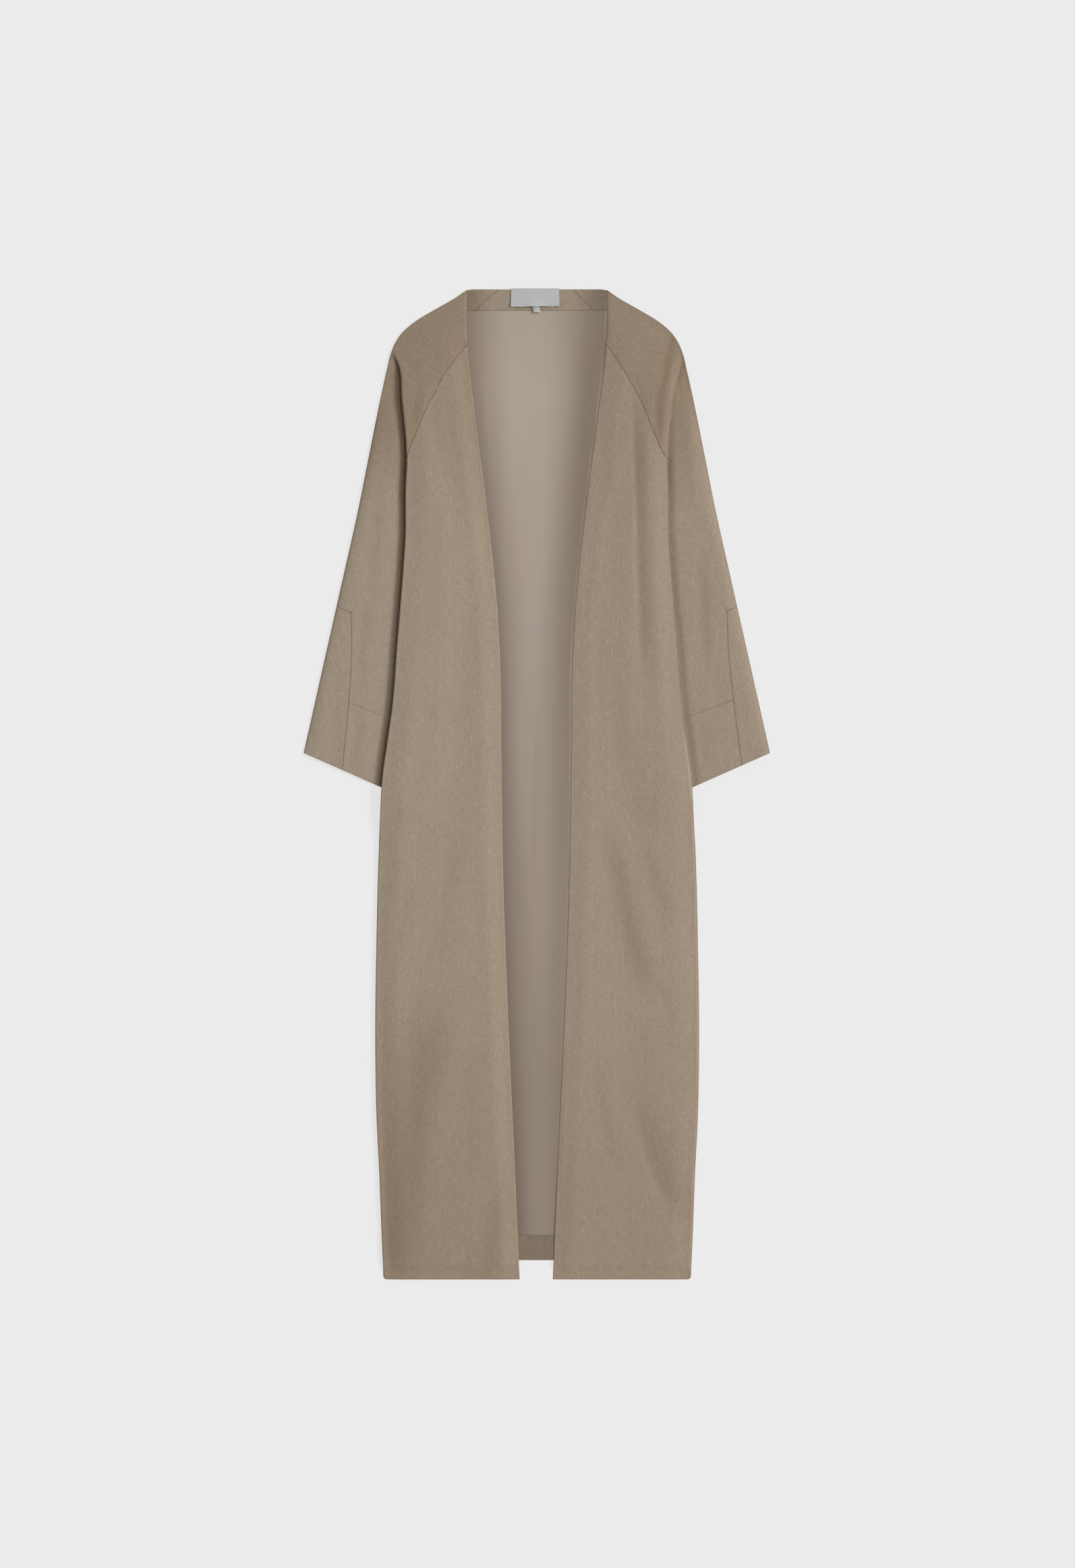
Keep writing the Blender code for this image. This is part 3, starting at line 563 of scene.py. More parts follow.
def makeFront(side):
    # grid from the open edge to the raglan seam or the side, row by row down to the hem
    raglan = np.linspace(cloak["slitDown"] + 0.0012, cloak["underarmDown"], fronts["raglanRows"])
    body = rowsTo(cloak["underarmDown"], cloak["length"], fronts["bodyRows"])[1:]
    downs = np.concatenate((raglan, body))
    inner = read(frontEdge, downs) - side * fronts["openShift"] * smooth((downs - 0.09) / 0.15)
    atRaglan = downs <= cloak["underarmDown"]
    outer = np.where(atRaglan, read(frontRaglan[side], downs) - cloak["seamGap"], read(sideEdge, downs))
    outer = outer + fronts["sideShift"][side] * smooth((downs - 0.76) / 0.06)
    corner = np.clip(downs - (cloak["length"] - fronts["hemCorner"]), 0.0, fronts["hemCorner"])
    outer = outer - (fronts["hemCorner"] - np.sqrt(fronts["hemCorner"] ** 2 - corner ** 2))
    half = inner[:, None] + spread(fronts["columns"])[None, :] * (outer - inner)[:, None]
    down = downs[:, None] + 0.0 * half
    height = upperHeight(half, down, side)
    fromSeam = np.where(atRaglan[:, None], outer[:, None] - half, 1.0)
    height = height + seamDip(0.8 * fromSeam)
    # below the back's hem the front settles on the surface, but keeps part of its waves
    settle = smooth((down - cloak["backLength"] - 0.0014) / fronts["settle"])
    wave = np.maximum(height - cloak["frontZ"], 0.0)
    height = height * (1.0 - settle) + settle * fronts["settleWaves"] * wave
    # the side rolls down onto the back panel, or rests on the wearer's left sleeve
    onBack = backHeight(half, down) + cloth + cloak["clear"]
    below = np.where(down > cloak["backLength"] + 0.0005, 0.0, onBack)
    if side > 0:
        onSleeve = sleeveLevel + cloth + sleeves["valley"] * sleeveTop(down, side) + 0.0004
        below = below + np.maximum(onSleeve - below, 0.0) * smooth((0.745 - down) / 0.035)
    rollDown = 1.0 - smooth((outer[:, None] - half) / fronts["rollDown"][side])
    rollDown = np.where(down > cloak["underarmDown"] + 0.004, rollDown, 0.0)
    target = np.minimum(height, below) if side < 0 else np.maximum(below, np.minimum(height, below))
    height = height + rollDown * (target - height)
    points = place(half, down, height, side)
    name = "front_" + sideNames[side]
    fade = seamFade(1.4 * fromSeam) * frontTone(half, down, side)
    fade = fade * edgeTone(cloak["length"] - down, cloak["hemDark"])
    fromSide = np.where(down > cloak["cuffEnd"], outer[:, None] - half, 1.0)
    fade = fade * edgeTone(fromSide, cloak["edgeDark"][side])
    # painted shade along the side below the cuffs, where the rolled side faces the light
    fade = fade * (1.0 - fronts["sideTone"][side] * bell(fromSide, 0.005))
    # painted light: the slope below the back's hem is painted lighter, to look as bright as the rest
    slope = bell(down - cloak["backLength"] - 0.010, 0.5 * fronts["settle"])
    fade = fade * (1.0 + fronts["slopeLight"] * slope)
    thickness = pressed(np.minimum(half - inner[:, None], fromSide))
    piece = sheetShell(name + "_linen", points, thickness, turned(points), fade, linen)
    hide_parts(name)


sleeves = {
    "shoulderLevel": 0.0028, "tuck": {-1: 0.0022, 1: 0.0}, "minimumPlain": 0.0034, "softSlope": 0.012,
    "openPress": 0.0006,  # how far the shoulder's open edge is pressed down
    "openEnd": 0.0004,    # its last stretch, which turns over
    "foldRound": 0.016,   # the swell rounds down to the outer fold over this width
    "calmFold": 0.010, "calmBody": 0.012,  # no creases this close to the fold and the body
    "shoulderTone": {-1: 0.20, 1: 0.16},
    # the shaded valley beside the body: (down, width) rows, where it starts and where it is deepest
    "valley": 0.72, "valleyReach": 0.014, "valleyDark": {-1: 0.76, 1: 0.22},
    "valleyWidth": {
        -1: ((0.10, 0.0044), (0.17, 0.0050), (0.23, 0.0068), (0.29, 0.0068), (0.36, 0.0060), (0.46, 0.0050),
             (0.74, 0.0050)),
        1: ((0.10, 0.0060), (0.74, 0.0060)),
    },
    "valleyStart": {-1: 0.088, 1: 0.175}, "valleyAt": {-1: 0.0, 1: 0.0045},
    "valleyLow": {-1: 0.0, 1: 0.0025},
    # rows of the grids down the sleeve, and columns in each stretch of the way round
    "firstRow": 0.0026, "neckRows": 24, "raglanRows": 64, "freeRows": 88, "elbowRows": 42, "cuffRows": 34,
    "inner": 4, "under": 20, "plain": 34, "strip": 12, "outer": 7, "backStrip": 8, "backWall": 24,
    "cut": {"sleeve": (0.34, 0.66), "sleeve_strip": (0.105, 0.215), "cuff": (0.30, 0.105)},
    "area": {"sleeve": 0.123, "sleeve_strip": 0.0162, "cuff": 0.024},
    "grain": {"sleeve": 8.0, "sleeve_strip": 16.0, "cuff": 8.0}, "biasGrain": 42.0,
}


def sleeveSection(side, inner, upper):
    # ends of each row of a sleeve: the outer fold, the front wall's end and the back wall's
    outerDown = read(rowTilt, inner)
    frontSeam = read(frontRaglan[side], inner) + cloak["seamGap"]
    neck = inner < cloak["slitDown"] - 1e-6
    frontHalf = np.where(upper, np.where(neck, read(frontEdge, inner), frontSeam), read(innerEdge, inner))
    way = (inner - inner[0]) / (cloak["underarmDown"] - inner[0])
    backDown = np.where(upper, inner - inner[0] * (1.0 - way), inner)
    backHalf = np.where(upper, read(backRaglan[side], backDown) + cloak["seamGap"], frontHalf)
    outer = np.stack((read(outline, outerDown), outerDown), axis=-1)
    front = np.stack((frontHalf, inner), axis=-1)
    # where the row crosses the edge of the upper layer
    steps = np.linspace(0.0, 1.0, 600)
    probe = outer[:, None, :] + steps[None, :, None] * (front - outer)[:, None, :]
    inside = pleatEdge(probe[..., 1]) - probe[..., 0] > 0.0
    first = np.where(inside.any(axis=1), steps[np.argmax(inside, axis=1)], 1.0)
    width = np.linalg.norm(front - outer, axis=1)
    crossing = np.minimum(np.maximum(first * width, sleeves["minimumPlain"]), width - 0.0006)
    return {
        "inner": inner, "upper": upper, "outer": outer, "front": front,
        "back": np.stack((backHalf, backDown), axis=-1), "crossing": crossing,
        "strip": np.minimum(read(stripFront[side], outerDown), 0.6 * crossing),
        "backStrip": read(stripWhole, outerDown) - read(stripFront[side], outerDown),
    }


def sleeveSheet(side, section, stretches):
    # A flat tube, row by row: each stretch is a part of the way round, its columns from 0 to 1.
    # Outside the body's edge the front wall swells; above the underarm it steps up to the body.
    outer = section["outer"][:, None, :]
    outerDown = outer[..., 1]
    inner = section["inner"][:, None]
    level = sleeveLevel + (sleeves["shoulderLevel"] - sleeveLevel) * smooth((0.14 - outerDown) / 0.06)
    radius = 0.5 * level
    foldStart = radius + 0.5 * cloth
    turnedEnd = 0.5 * math.pi - 0.0001 / radius
    upper = section["upper"][:, None]
    crossing = section["crossing"][:, None]
    tuck = np.where(upper, sleeves["tuck"][side] * smooth((outerDown - 0.085) / 0.03), 0.0)
    reach = np.where(upper, sleeves["openEnd"], radius * np.sin(turnedEnd) + 0.5 * cloth)
    layers, fades = [], []
    for kind, parts in stretches:
        parts = parts[None, :]
        isBack = kind.startswith("back")
        span = section["back" if isBack else "front"][:, None, :] - outer
        width = np.linalg.norm(span, axis=2)
        direction = span / width[..., None]
        guide = section["backStrip" if isBack else "strip"][:, None]
        if isBack:
            guide = np.minimum(guide, 0.3 * width)
        height = 0.5 * cloth + 0.0 * (parts + width)
        if kind == "outerFold":
            away = foldStart - radius * np.sin(parts * math.pi)
            height = 0.5 * (level + cloth) + radius * np.cos(parts * math.pi)
        elif kind in ("frontStrip", "backStrip"):
            away = foldStart + parts * (guide - cloak["seamGap"] - foldStart)
        elif kind == "frontPlain":
            away = guide + cloak["seamGap"] + parts * (crossing - guide - cloak["seamGap"])
            away = away + tuck * smooth((parts - 0.9) / 0.1)
        elif kind == "frontUnder":
            start = crossing + np.where(upper, 0.0, cloak["clear"])
            away = start + parts * np.maximum(width - reach - start, 0.0001)
        elif kind == "backWall":
            away = guide + cloak["seamGap"] + parts * (width - reach - guide - cloak["seamGap"])
        else:
            turn = parts * turnedEnd
            away = width - reach + np.where(upper, cloak["clear"] * parts, radius * np.sin(turn))
            height = 0.5 * cloth + np.where(upper, 0.0, radius * (1.0 - np.cos(turn)))
            if not isBack:
                height = level + cloth - height
        plan = outer + (away + 0.0 * height)[..., None] * direction
        # the neck's corner reaches up to the neck edge
        corner = (1.0 - smooth((plan[..., 0] - 0.1003) / 0.0040)) * (1.0 - smooth(plan[..., 1] / 0.016))
        plan[..., 1] -= corner * (cloak["neckRise"] + 0.0016 * smooth((plan[..., 0] - 0.056) / 0.045))
        half, down = plan[..., 0], plan[..., 1]
        if kind in ("frontPlain", "frontStrip"):
            across = np.clip(away / crossing, 0.0, 1.0)
            fold = np.clip((away - foldStart) / sleeves["foldRound"], 0.0, 1.0)
            toBody = 1.0 if side > 0 else 1.0 - 0.75 * smooth((across - 0.45) / 0.55)
            growth = smooth((down - 0.12) / 0.10)
            belly = sleeveTop(down, side) * np.sqrt(1.0 - (1.0 - fold) ** 2) * toBody
            soft = smooth((away - foldStart) / sleeves["calmFold"]) * growth
            soft = smooth((crossing - away) / sleeves["calmBody"]) * soft
            relief = -creaseSum(sleeveCreases[side], half, down, "depth")
            relief = relief + ripple("sleeve", half, down, side)
            swell = np.maximum(belly + relief * soft, 0.0)
            floor = 0.0 if side < 0 else sleeves["valley"]
            swell = swell * (1.0 - (1.0 - floor) * smooth(1.0 - (crossing - away) / sleeves["valleyReach"]))
            # seams: along the strip, at the strip's top and across above the cuff
            dip = np.where(inner >= cloak["stripTop"] - 0.0002, seamDip(away - guide), 0.0)
            acrossSeam = cloak["stripTop"] if kind == "frontStrip" else cloak["crossSeam"]
            height = level + swell
            if side > 0:
                # the wearer's left shoulder slopes softly down from the body instead of tucking under
                atEdge = upperHeight(pleatEdge(down), down, side)
                slope = smooth(1.0 - (crossing - away) / sleeves["softSlope"]) * smooth((down - 0.07) / 0.03)
                height = np.where(upper, height + (atEdge - height) * slope, height)
            height = 0.5 * cloth + height + dip + seamDip(inner - acrossSeam)
        elif kind in ("frontUnder", "frontInnerFold"):
            raised = 0.5 * cloth + upperHeight(half, down, side) + seamDip(0.8 * (width - away))
            # the shoulder's open edge is pressed down towards the facing
            press = sleeves["openPress"] * smooth((cloak["slitDown"] - inner) / 0.010)
            raised = raised - press * bell(width - away, 0.003)
            low = height
            if kind == "frontUnder":
                low = 0.5 * cloth + level
                if side > 0:
                    beside = sleeves["valley"] * sleeveTop(down, side)
                    low = low + beside * smooth(1.0 - (away - crossing) / 0.004)
            height = np.where(upper, raised, low)
        fade = raglanTone(half, down, side) * (1.0 - creaseSum(sleeveCreases[side], half, down, "dark"))
        if kind in ("frontPlain", "frontStrip"):
            # little light reaches the valley beside the body
            deepest = sleeves["valleyAt"][side] + sleeves["valleyLow"][side] * smooth((down - 0.42) / 0.10)
            beside = bell(crossing - away - deepest, read(sleeves["valleyWidth"][side], down))
            starts = smooth((outerDown - sleeves["valleyStart"][side]) / (0.02 if side < 0 else 0.07))
            fade = fade * (1.0 - sleeves["valleyDark"][side] * starts * beside)
            fade = fade * edgeTone(away - foldStart, cloak["edgeDark"][side])
            fade = fade * edgeTone(cloak["cuffEnd"] - inner, cloak["hemDark"])
        # painted shade on the sleeve's outer fold
        if kind == "outerFold":
            fade = fade * (1.0 - cloak["edgeDark"][side])
        if kind in ("frontUnder", "frontInnerFold"):
            atSeam = seamFade(1.4 * (width - away)) * edgeTone(down + 0.0006, cloak["hemDark"])
            fade = fade * np.where(upper & (inner > cloak["slitDown"]), atSeam, 1.0)
        if kind in ("frontPlain", "frontStrip", "backStrip", "backWall"):
            along = seamFade(away - guide)
            if kind.endswith("Strip"):
                along = along * seamFade(inner - cloak["stripTop"])
            fade = fade * np.where(inner >= cloak["stripTop"] - 0.004, along, 1.0)
        if kind in ("frontPlain", "frontUnder", "backWall"):
            fade = fade * seamFade(inner - cloak["crossSeam"])
        layers.append(place(half, down, height, side))
        fades.append(fade)
    return np.concatenate(layers, axis=1), np.concatenate(fades, axis=1)


def grainOf(points, side, kind):
    # the grain turns from the raglan's bias to the sleeve's own direction, degrees from +Y
    down = neckY - points[..., 1]
    bias = sleeves["biasGrain"]
    angle = bias + (sleeves["grain"][kind] - bias) * smooth((down - 0.06) / 0.22)
    return turned(points, -side * angle, (side * 0.19, neckY - 0.17))


def tubeShell(name, middle, fade, section, side, uv, material, keep=None):
    # half the cloth to each side of the middle surface, measured in the upright plane of each row,
    # and less at the shoulder's open edge, in the first columns of the rows above the slit
    thin = np.ones(middle.shape[:2])
    first = sleeves["inner"] + sleeves["under"]
    fromEdge = np.abs(side * middle[:, :first, 0] - section["front"][:, None, 0])
    thin[:, :first] = np.where(section["inner"][:, None] < cloak["slitDown"], pressed(fromEdge) / cloth, 1.0)
    run = section["front"] - section["outer"]
    level = np.stack((run[:, 1], side * run[:, 0], 0.0 * run[:, 0]), axis=-1)
    normal = np.cross(level[:, None, :], np.gradient(middle, axis=1))
    normal = normal / np.maximum(np.linalg.norm(normal, axis=2, keepdims=True), 1e-12)
    offset = 0.5 * cloth * thin[..., None] * normal
    return shell(name, middle - offset, middle + offset, uv, fade, material, keep)


def makeSleeve(side):
    # the sleeve without its strip's part, the strip round the outer fold, and the cuff below the seam
    neck = np.linspace(sleeves["firstRow"], cloak["slitDown"], sleeves["neckRows"])[:-1]
    raglan = np.linspace(cloak["slitDown"], cloak["underarmDown"], sleeves["raglanRows"])
    free = rowsTo(cloak["underarmDown"], cloak["stripTop"], sleeves["freeRows"])[1:]
    elbow = rowsTo(cloak["stripTop"], cloak["crossSeam"], sleeves["elbowRows"])[1:]
    cuff = rowsTo(cloak["crossSeam"], cloak["cuffEnd"], sleeves["cuffRows"])[1:]
    inner = np.concatenate((neck, raglan, free, elbow, cuff))
    upper = np.arange(len(inner)) < len(neck) + len(raglan)
    section = sleeveSection(side, inner, upper)
    stripRow = len(neck) + len(raglan) + len(free) - 1
    crossRow = stripRow + len(elbow)
    outerParts = np.linspace(0.0, 1.0, sleeves["outer"] + 2)[1:-1]
    innerParts = np.linspace(0.0, 1.0, sleeves["inner"] + 1)[1:]
    under = spread(sleeves["under"], 0.9)
    plain = spread(sleeves["plain"], 0.92)
    wall = spread(sleeves["backWall"])
    stretches = {
        "sleeve": (("frontInnerFold", innerParts[::-1]), ("frontUnder", under[::-1]),
                   ("frontPlain", plain[::-1]), ("frontStrip", spread(sleeves["strip"])[::-1]),
                   ("outerFold", outerParts), ("backStrip", spread(sleeves["backStrip"])),
                   ("backWall", wall), ("backInnerFold", innerParts)),
        "sleeve_strip": (("frontStrip", spread(22, 0.92)[::-1]), ("outerFold", outerParts),
                         ("backStrip", spread(14))),
        "cuff": (("frontPlain", plain), ("frontUnder", under), ("frontInnerFold", innerParts),
                 ("backInnerFold", innerParts[-2::-1]), ("backWall", wall[::-1])),
    }
    # columns from the strip's front seam round to its back seam
    firstStrip = sleeves["inner"] + sleeves["under"] + sleeves["plain"] - 1
    lastStrip = firstStrip + sleeves["strip"] + sleeves["outer"] + sleeves["backStrip"] + 1

    for kind, start, end in (("sleeve", 0, crossRow + 1), ("sleeve_strip", stripRow, None),
                             ("cuff", crossRow, None)):
        part = {key: value[start:end] for key, value in section.items()}
        middle, fade = sleeveSheet(side, part, stretches[kind])
        keep = None
        if kind == "sleeve":
            keep = np.ones((middle.shape[0] - 1, middle.shape[1] - 1), bool)
            keep[stripRow:, firstStrip:lastStrip] = False
        else:
            middle[0] = middle[0] - np.array((0.0, cloak["seamGap"], 0.0))
        name = kind + "_" + sideNames[side]
        uv = grainOf(middle, side, kind)
        piece = tubeShell(name + "_linen", middle, fade, part, side, uv, linen, keep)
        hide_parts(name)


back = {"columns": 70, "raglanRows": 50, "bodyRows": 140, "flat": (0.464, 1.3891), "area": 0.560}


def makeBack():
    # one grid across the whole back, from raglan seam to raglan seam, then from side to side
    top = np.linspace(0.0, cloak["underarmDown"], back["raglanRows"])
    body = np.linspace(cloak["underarmDown"], cloak["backLength"], back["bodyRows"])[1:]
    downs = np.concatenate((top, body))
    across = np.sin(np.linspace(-0.5 * math.pi, 0.5 * math.pi, 2 * back["columns"] + 1))[None, :]
    reach = {}
    for side in (-1, 1):
        seam = read(backRaglan[side], downs) - cloak["seamGap"]
        reach[side] = np.where(downs <= cloak["underarmDown"], seam, read(sideEdge, downs) - 0.0002)
    half = np.where(across < 0.0, across * reach[-1][:, None], across * reach[1][:, None])
    down = neckCurve(half, downs[:, None])
    points = place(half, down, backHeight(np.abs(half), down))
    piece = sheetShell("back_linen", points, cloth, turned(points), 1.0, linen)
    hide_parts("back")


inside = {"z": 0.0016, "lining": 0.0006, "facing": 0.0007, "margin": 0.028, "facingDepth": 0.0294,
          "bandTop": 1.3530, "rightRise": 0.0028, "leftRise": 0.0010,
          "darkRight": 0.50, "darkLeft": 0.33, "darkBeside": 0.15, "darkDown": 0.33, "bandFade": 0.63,
          "ownShadow": 0.0035,  # width of the shadow that the open edge throws by itself
          "facingRows": 26, "liningRows": 300, "bandRows": 22, "sideGrain": 40.0}


def innerHalf(down):
    # the lining and facings run on below the fronts, inside the shoulder's fold
    return np.minimum(read(frontEdge, down) + inside["margin"], read(outline, down) - 0.0025)


def liningHeight(x, down):
    # rises below the wearer's left front, lies flat on the other side, with long vertical waves
    edge = read(frontEdge, down)
    growth = smooth((down - 0.03) / 0.10) * edgeFade(down)
    hemFade = 1.0 - smooth((down - 1.22) / 0.12)
    left = smooth((x + 0.050 - edge) / 0.055)
    right = smooth((-x + 0.022 - edge) / 0.020)
    middle = smooth((edge - np.abs(x)) / 0.02)
    rise = inside["rightRise"] * left + inside["leftRise"] * right
    waves = ripple("lining", x, down) * middle
    return inside["z"] + (rise + waves + 0.0004 * middle) * growth * hemFade


# painted shade and painted highlights of the lining's soft folds, in the columns of the creases but without
# depth, and x for half
liningFoldShading = (
    (0.0, 0.0035, 0.005, 0.085, (0.56, 0.0015), (0.637, 0.0007), (0.705, -0.002), (0.778, -0.0037),
     (0.9, -0.004)),
    (0.0, 0.007, 0.007, -0.035, (0.52, -0.024), (0.64, -0.024), (0.76, -0.021), (0.86, -0.018)),
    (0.0, 0.008, 0.008, -0.03, (0.84, 0.014), (0.96, 0.013), (1.06, 0.01)),
    (0.0, 0.004, 0.004, -0.05, (0.08, -0.074), (0.16, -0.072), (0.28, -0.058)),
    (0.0, 0.009, 0.012, -0.025, (0.07, -0.03), (0.15, -0.026), (0.26, -0.024)),
)


def liningFade(x, down):
    # painted shade: brightest left of the middle, falling away into the shadow under both fronts, and darker
    # towards the hem
    edge = read(frontEdge, down)
    across = (x + edge) / (2.0 * edge)
    peak = 0.40 + 0.15 * smooth((down - 0.65) / 0.25)
    left = smooth((peak - across) / peak) ** 1.6
    right = smooth((across - peak) / (1.0 - peak)) ** 1.6
    # the last millimetres lie in the front's own shadow already
    near = 0.75 + 1.15 * smooth((down - 0.30) / 0.40)
    right = right * (1.0 - near * smooth(1.0 - np.abs(edge - x) / inside["ownShadow"]))
    darkRight = inside["darkRight"] * (1.0 - 0.7 * smooth((down - 0.1) / 1.0))
    darkLeft = inside["darkLeft"] * (1.0 - 0.3 * smooth(down / 1.2))
    fall = inside["darkDown"] * np.clip((down - 0.15) / 1.0, 0.0, 1.0) + 0.05 * smooth((0.16 - down) / 0.12)
    # painted shade and painted highlights of the lining's soft folds
    streaks = 1.0 - creaseSum(liningFoldShading, x, down, "dark")
    hard = inside["darkBeside"] * np.exp(-(np.maximum(x + edge, 0.0) / 0.020) ** 1.3)
    return (1.0 - darkLeft * left - darkRight * right) * (1.0 - fall) * (1.0 - hard) * streaks


def facingFade(x, down):
    # the facing falls into the shade of both fronts and is darker along its slanting seams
    edge = read(frontEdge, down)
    fade = 0.945 - 0.32 * smooth(1.0 - (x + edge) / 0.040) - 0.40 * smooth(1.0 - (edge - x) / 0.055)
    for side in (-1, 1):
        fade = fade * seamFade(0.9 * (x - side * read(backRaglan[side], down)))
    # as on the lining, the shoulder's own shadow is there already
    fade = fade * (1.0 + 0.35 * smooth(1.0 - np.abs(edge - x) / inside["ownShadow"]))
    # painted shade of a short crease that runs out of the wearer's right corner
    corner = -0.066 - 0.023 * smooth((down + 0.001) / 0.0075)
    return fade * (1.0 - 0.16 * smooth((0.0085 - down) / 0.002) * bell(x - corner, 0.0011))


# node: piece, flat size, area, columns
insideCuts = {
    "neck_facing_centre": ("facing_centre_linen", (0.171, 0.0294), 0.0044, 90),
    "neck_facing_right": ("facing_right_linen", (0.075, 0.0294), 0.0015, 50),
    "neck_facing_left": ("facing_left_linen", (0.075, 0.0294), 0.0015, 50),
    "back_lining": ("lining_cloth", (0.256, 1.3236), 0.219, 80),
    "hem_band": ("hem_band_linen", (0.110, 0.0357), 0.0039, 70),
}


def insideSheet(node, start, end, downs, grain=0.0):
    # a sheet from one curve of x to the other, a row for each down, on the height of the lining
    name, flat, area, columns = insideCuts[node]
    half = start[:, None] + spread(columns, 0.9)[None, :] * (end - start)[:, None]
    down = neckCurve(half, downs[:, None])
    points = place(half, down, liningHeight(half, down))
    kind, material = "facing", linenInside
    if node == "back_lining":
        kind, material = "lining", liningCloth
        fade = liningFade(half, down)
    elif node == "hem_band":
        # painted shade: the band of the hem lies in the shade between the fronts
        fade = inside["bandFade"] * edgeTone(cloak["backLength"] - down, cloak["hemDark"])
        # painted light beside the open edges, whose own shadow falls there already
        fade = fade * (1.0 + 0.2 * smooth(1.0 - np.abs(read(frontEdge, down) - half) / 0.003))
    else:
        fade = facingFade(half, down)
    piece = sheetShell(name, points, inside[kind], turned(points, grain), fade, material)
    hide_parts(node)


def makeInside():
    # the facings between the raglan seams and beside them, then the lining and the band of the hem
    facingDowns = np.linspace(0.0, inside["facingDepth"], inside["facingRows"])
    seams = {side: read(backRaglan[side], facingDowns) for side in (-1, 1)}
    gap = cloak["seamGap"]
    insideSheet("neck_facing_centre", -seams[-1] + gap, seams[1] - gap, facingDowns)
    for side in (-1, 1):
        insideSheet("neck_facing_" + sideNames[side], side * (seams[side] + gap),
                    side * innerHalf(facingDowns), facingDowns, side * inside["sideGrain"])
    slit = 2.0 * gap
    downs = np.linspace(inside["facingDepth"] + slit, inside["bandTop"], inside["liningRows"])
    insideSheet("back_lining", -innerHalf(downs), innerHalf(downs), downs)
    downs = np.linspace(inside["bandTop"] + slit, cloak["backLength"] - cloak["clear"], inside["bandRows"])
    insideSheet("hem_band", -innerHalf(downs), innerHalf(downs), downs)


tags = {"z": 0.0026, "rise": 0.0026, "thickness": 0.0006, "centre": -0.0024, "width": 0.0686,
        "bottom": 0.0234, "tabTop": 0.0225, "tabBottom": 0.0319, "tabCentre": -0.0005, "tabWidth": 0.0097}


def makeTags():
    # the label bows up a little between its sewn ends and its lower edge stands off the facing
    along = np.linspace(-0.5, 0.5, 61)[None, :]
    way = np.linspace(0.0, 1.0, 27)[:, None]
    skew = 0.0009 * (0.5 - along)
    down = -tags["rise"] + way * (tags["bottom"] + tags["rise"] + skew - 0.0003)
    down = down + 0.00025 * np.sin(21.0 * along + 1.0) * way
    half = tags["centre"] + along * tags["width"] + 0.0006 * way * np.sin(3.0 * along)
    bow = 0.0005 * (1.0 - (2.0 * along) ** 2) + 0.0021 * way ** 2 * (0.7 + 0.3 * np.cos(9.0 * along + 0.5))
    points = place(half, down, tags["z"] + bow)
    label = sheetShell("neck_label_tape", points, tags["thickness"], turned(points), 1.0, labelTape)
    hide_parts("neck_label")

    along = np.linspace(-0.5, 0.5, 15)[None, :]
    way = np.linspace(0.0, 1.0, 19)[:, None]
    down = tags["tabTop"] + way * (tags["tabBottom"] - tags["tabTop"])
    half = tags["tabCentre"] + along * tags["tabWidth"] + 0.0022 * (way - 0.5)
    height = tags["z"] - 0.0002 + 0.0019 * way + 0.0003 * np.cos(3.1 * along)
    points = place(half, down, height)
    tab = sheetShell("size_tab_tape", points, tags["thickness"], turned(points, 6.0), 1.0, labelTape)
    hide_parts("size_tab")


stitches = {"pitch": 0.0026, "length": 0.0017, "width": 0.00045, "down": 0.0281}


def makeStitches():
    # each stitch is a short arched tube of thread, a grid of rings of six points
    reach = float(read(frontEdge, stitches["down"])) + 0.010
    centres = np.arange(-reach, reach, stitches["pitch"])
    way = np.linspace(-1.0, 1.0, 7)[None, :, None]
    turn = np.linspace(0.0, 2.0 * math.pi, 7)[:-1][None, None, :]
    thick = 0.5 * stitches["width"] * np.sqrt(1.0 - 0.97 * way ** 4)
    x = centres[:, None, None] + 0.5 * stitches["length"] * way + 0.0 * turn
    y = neckY - stitches["down"] + thick * np.cos(turn) + 0.0 * x
    z = inside["z"] + inside["facing"] + 0.00012 * (1.0 - way ** 2) + thick * np.sin(turn) + 0.0 * x
    points = np.stack((x, y, z), axis=-1).reshape(-1, 3)
    index = np.arange(42).reshape(7, 6)
    beside = np.roll(index, -1, axis=1)
    wall = np.stack((index[:-1], beside[:-1], beside[1:], index[1:]), axis=-1).reshape(-1, 4)
    caps = np.array(((0, 5, 4, 3), (0, 3, 2, 1), (36, 37, 38, 39), (36, 39, 40, 41)))
    one = np.concatenate((wall, caps))
    faces = (one[None] + 42 * np.arange(len(centres))[:, None, None]).reshape(-1, 4)
    meshPiece("facing_stitches", points, faces, points[:, :2], np.ones(len(points)), thread, 180.0)


for side in (-1, 1):
    makeFront(side)
    makeSleeve(side)
makeBack()
makeInside()
makeTags()
makeStitches()

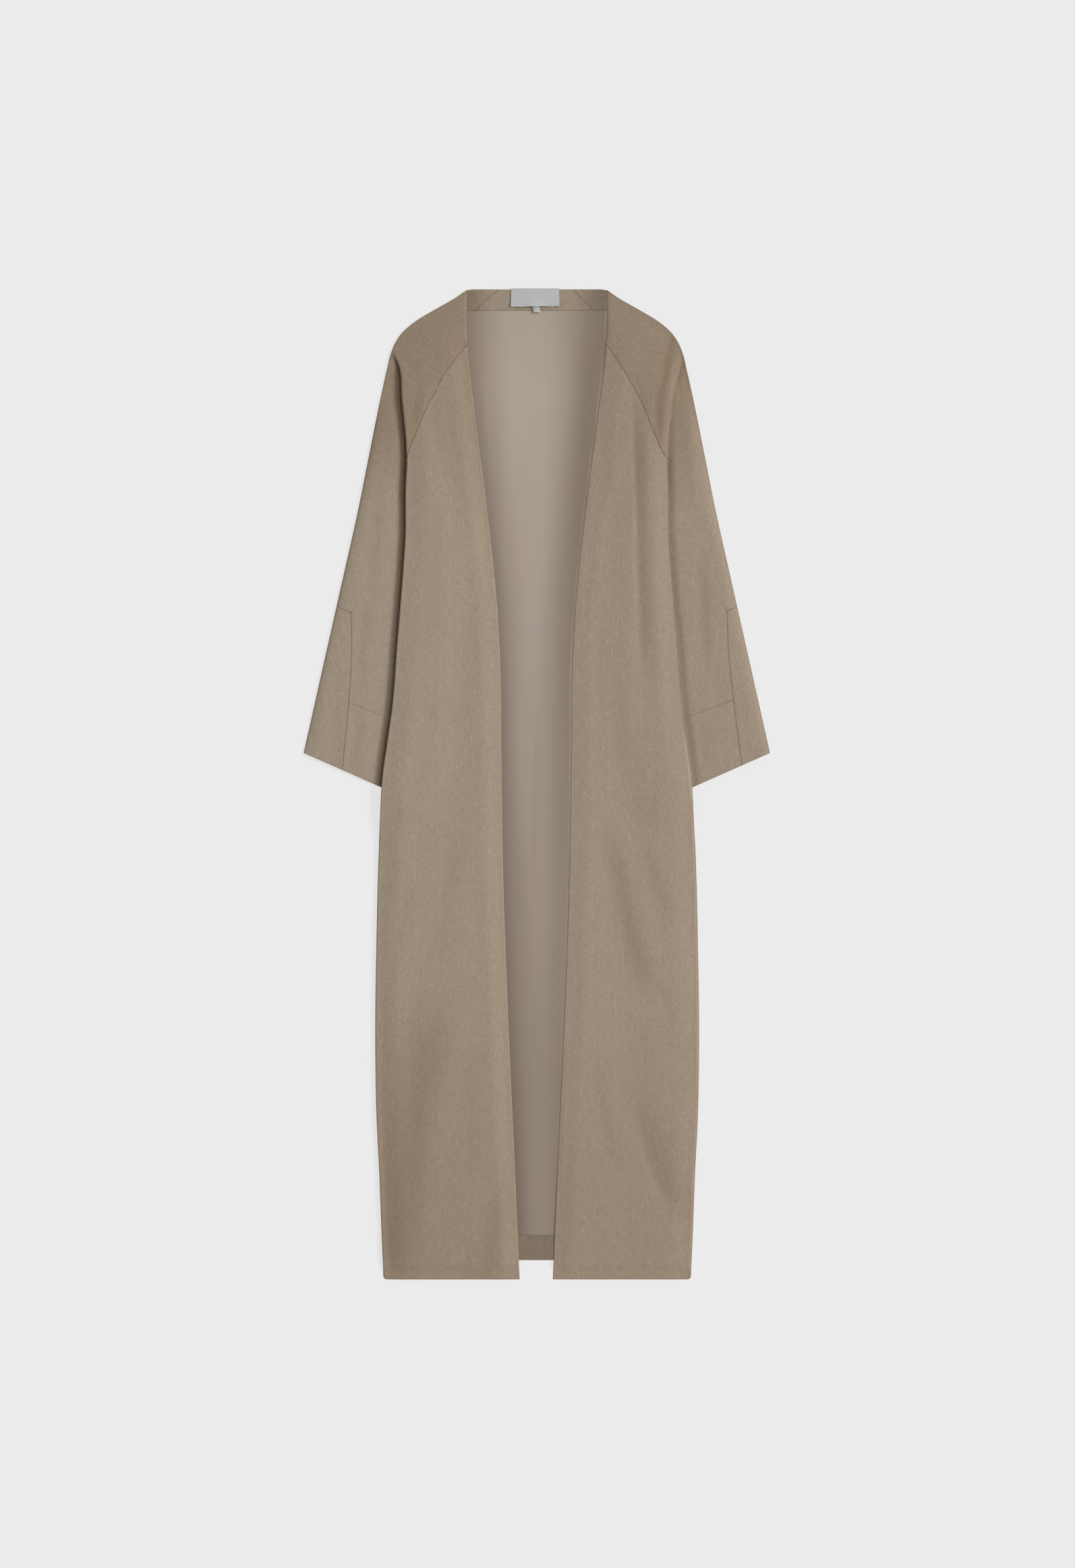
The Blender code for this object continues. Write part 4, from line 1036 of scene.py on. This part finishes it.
stage = {"floor": 0.16, "glow": 0.677, "size": 30.0, "sunStrength": 2.70, "sunSoft": 14.0,
         "sunHeight": 30.0, "sunTurn": 15.0, "sunColour": (1.0, 0.985, 0.96), "fill": 0.55,
         "roomColour": (0.97, 0.985, 1.0, 1.0), "lens": 100.0, "camera": (0.00097, -0.00024, 6.24)}


def makeFloor():
    # one pale square, lit from below like a light table, so that shadows stay faint
    material = bpy.data.materials.new("paleBoard")
    material.use_nodes = True
    shader = material.node_tree.nodes["Principled BSDF"]
    grey = stage["floor"]
    setInputs(material.node_tree, shader, {
        "Roughness": 0.9, "Specular IOR Level": 0.1, "Base Color": (grey, grey, grey, 1.0),
        "Emission Color": (1.0, 1.0, 1.0, 1.0), "Emission Strength": stage["glow"]})
    mesh = bpy.data.meshes.new("pale_floor")
    size = stage["size"]
    mesh.from_pydata([(-size, -size, 0.0), (size, -size, 0.0), (size, size, 0.0), (-size, size, 0.0)],
                     [], [(0, 1, 2, 3)])
    mesh.materials.append(material)
    floor = addObject("pale_floor", mesh)


def makeLight():
    # a low soft sun from the right of the picture and an even, slightly cool room
    lamp = bpy.data.lights.new("keyLight", "SUN")
    lamp.energy = stage["sunStrength"]
    lamp.angle = math.radians(stage["sunSoft"])
    lamp.color = stage["sunColour"]
    key = addObject("keyLight", lamp)
    key.rotation_euler = (0.0, math.radians(90.0 - stage["sunHeight"]), math.radians(stage["sunTurn"]))
    world = bpy.data.worlds.new("softRoom")
    world.use_nodes = True
    sky = world.node_tree.nodes["Background"]
    setInputs(world.node_tree, sky, {"Color": stage["roomColour"], "Strength": stage["fill"]})
    bpy.context.scene.world = world


def makeCamera():
    # straight above; the photograph's frame is 1.540 m by 2.245 m at the cloth
    lens = bpy.data.cameras.new("above")
    lens.lens = stage["lens"]
    lens.sensor_width = 36.0
    lens.sensor_fit = "AUTO"
    camera = addObject("above", lens)
    camera.location = stage["camera"]
    bpy.context.scene.camera = camera


makeFloor()
makeLight()
makeCamera()
bpy.context.scene.view_settings.view_transform = "Standard"
print("floor, light and camera ready")
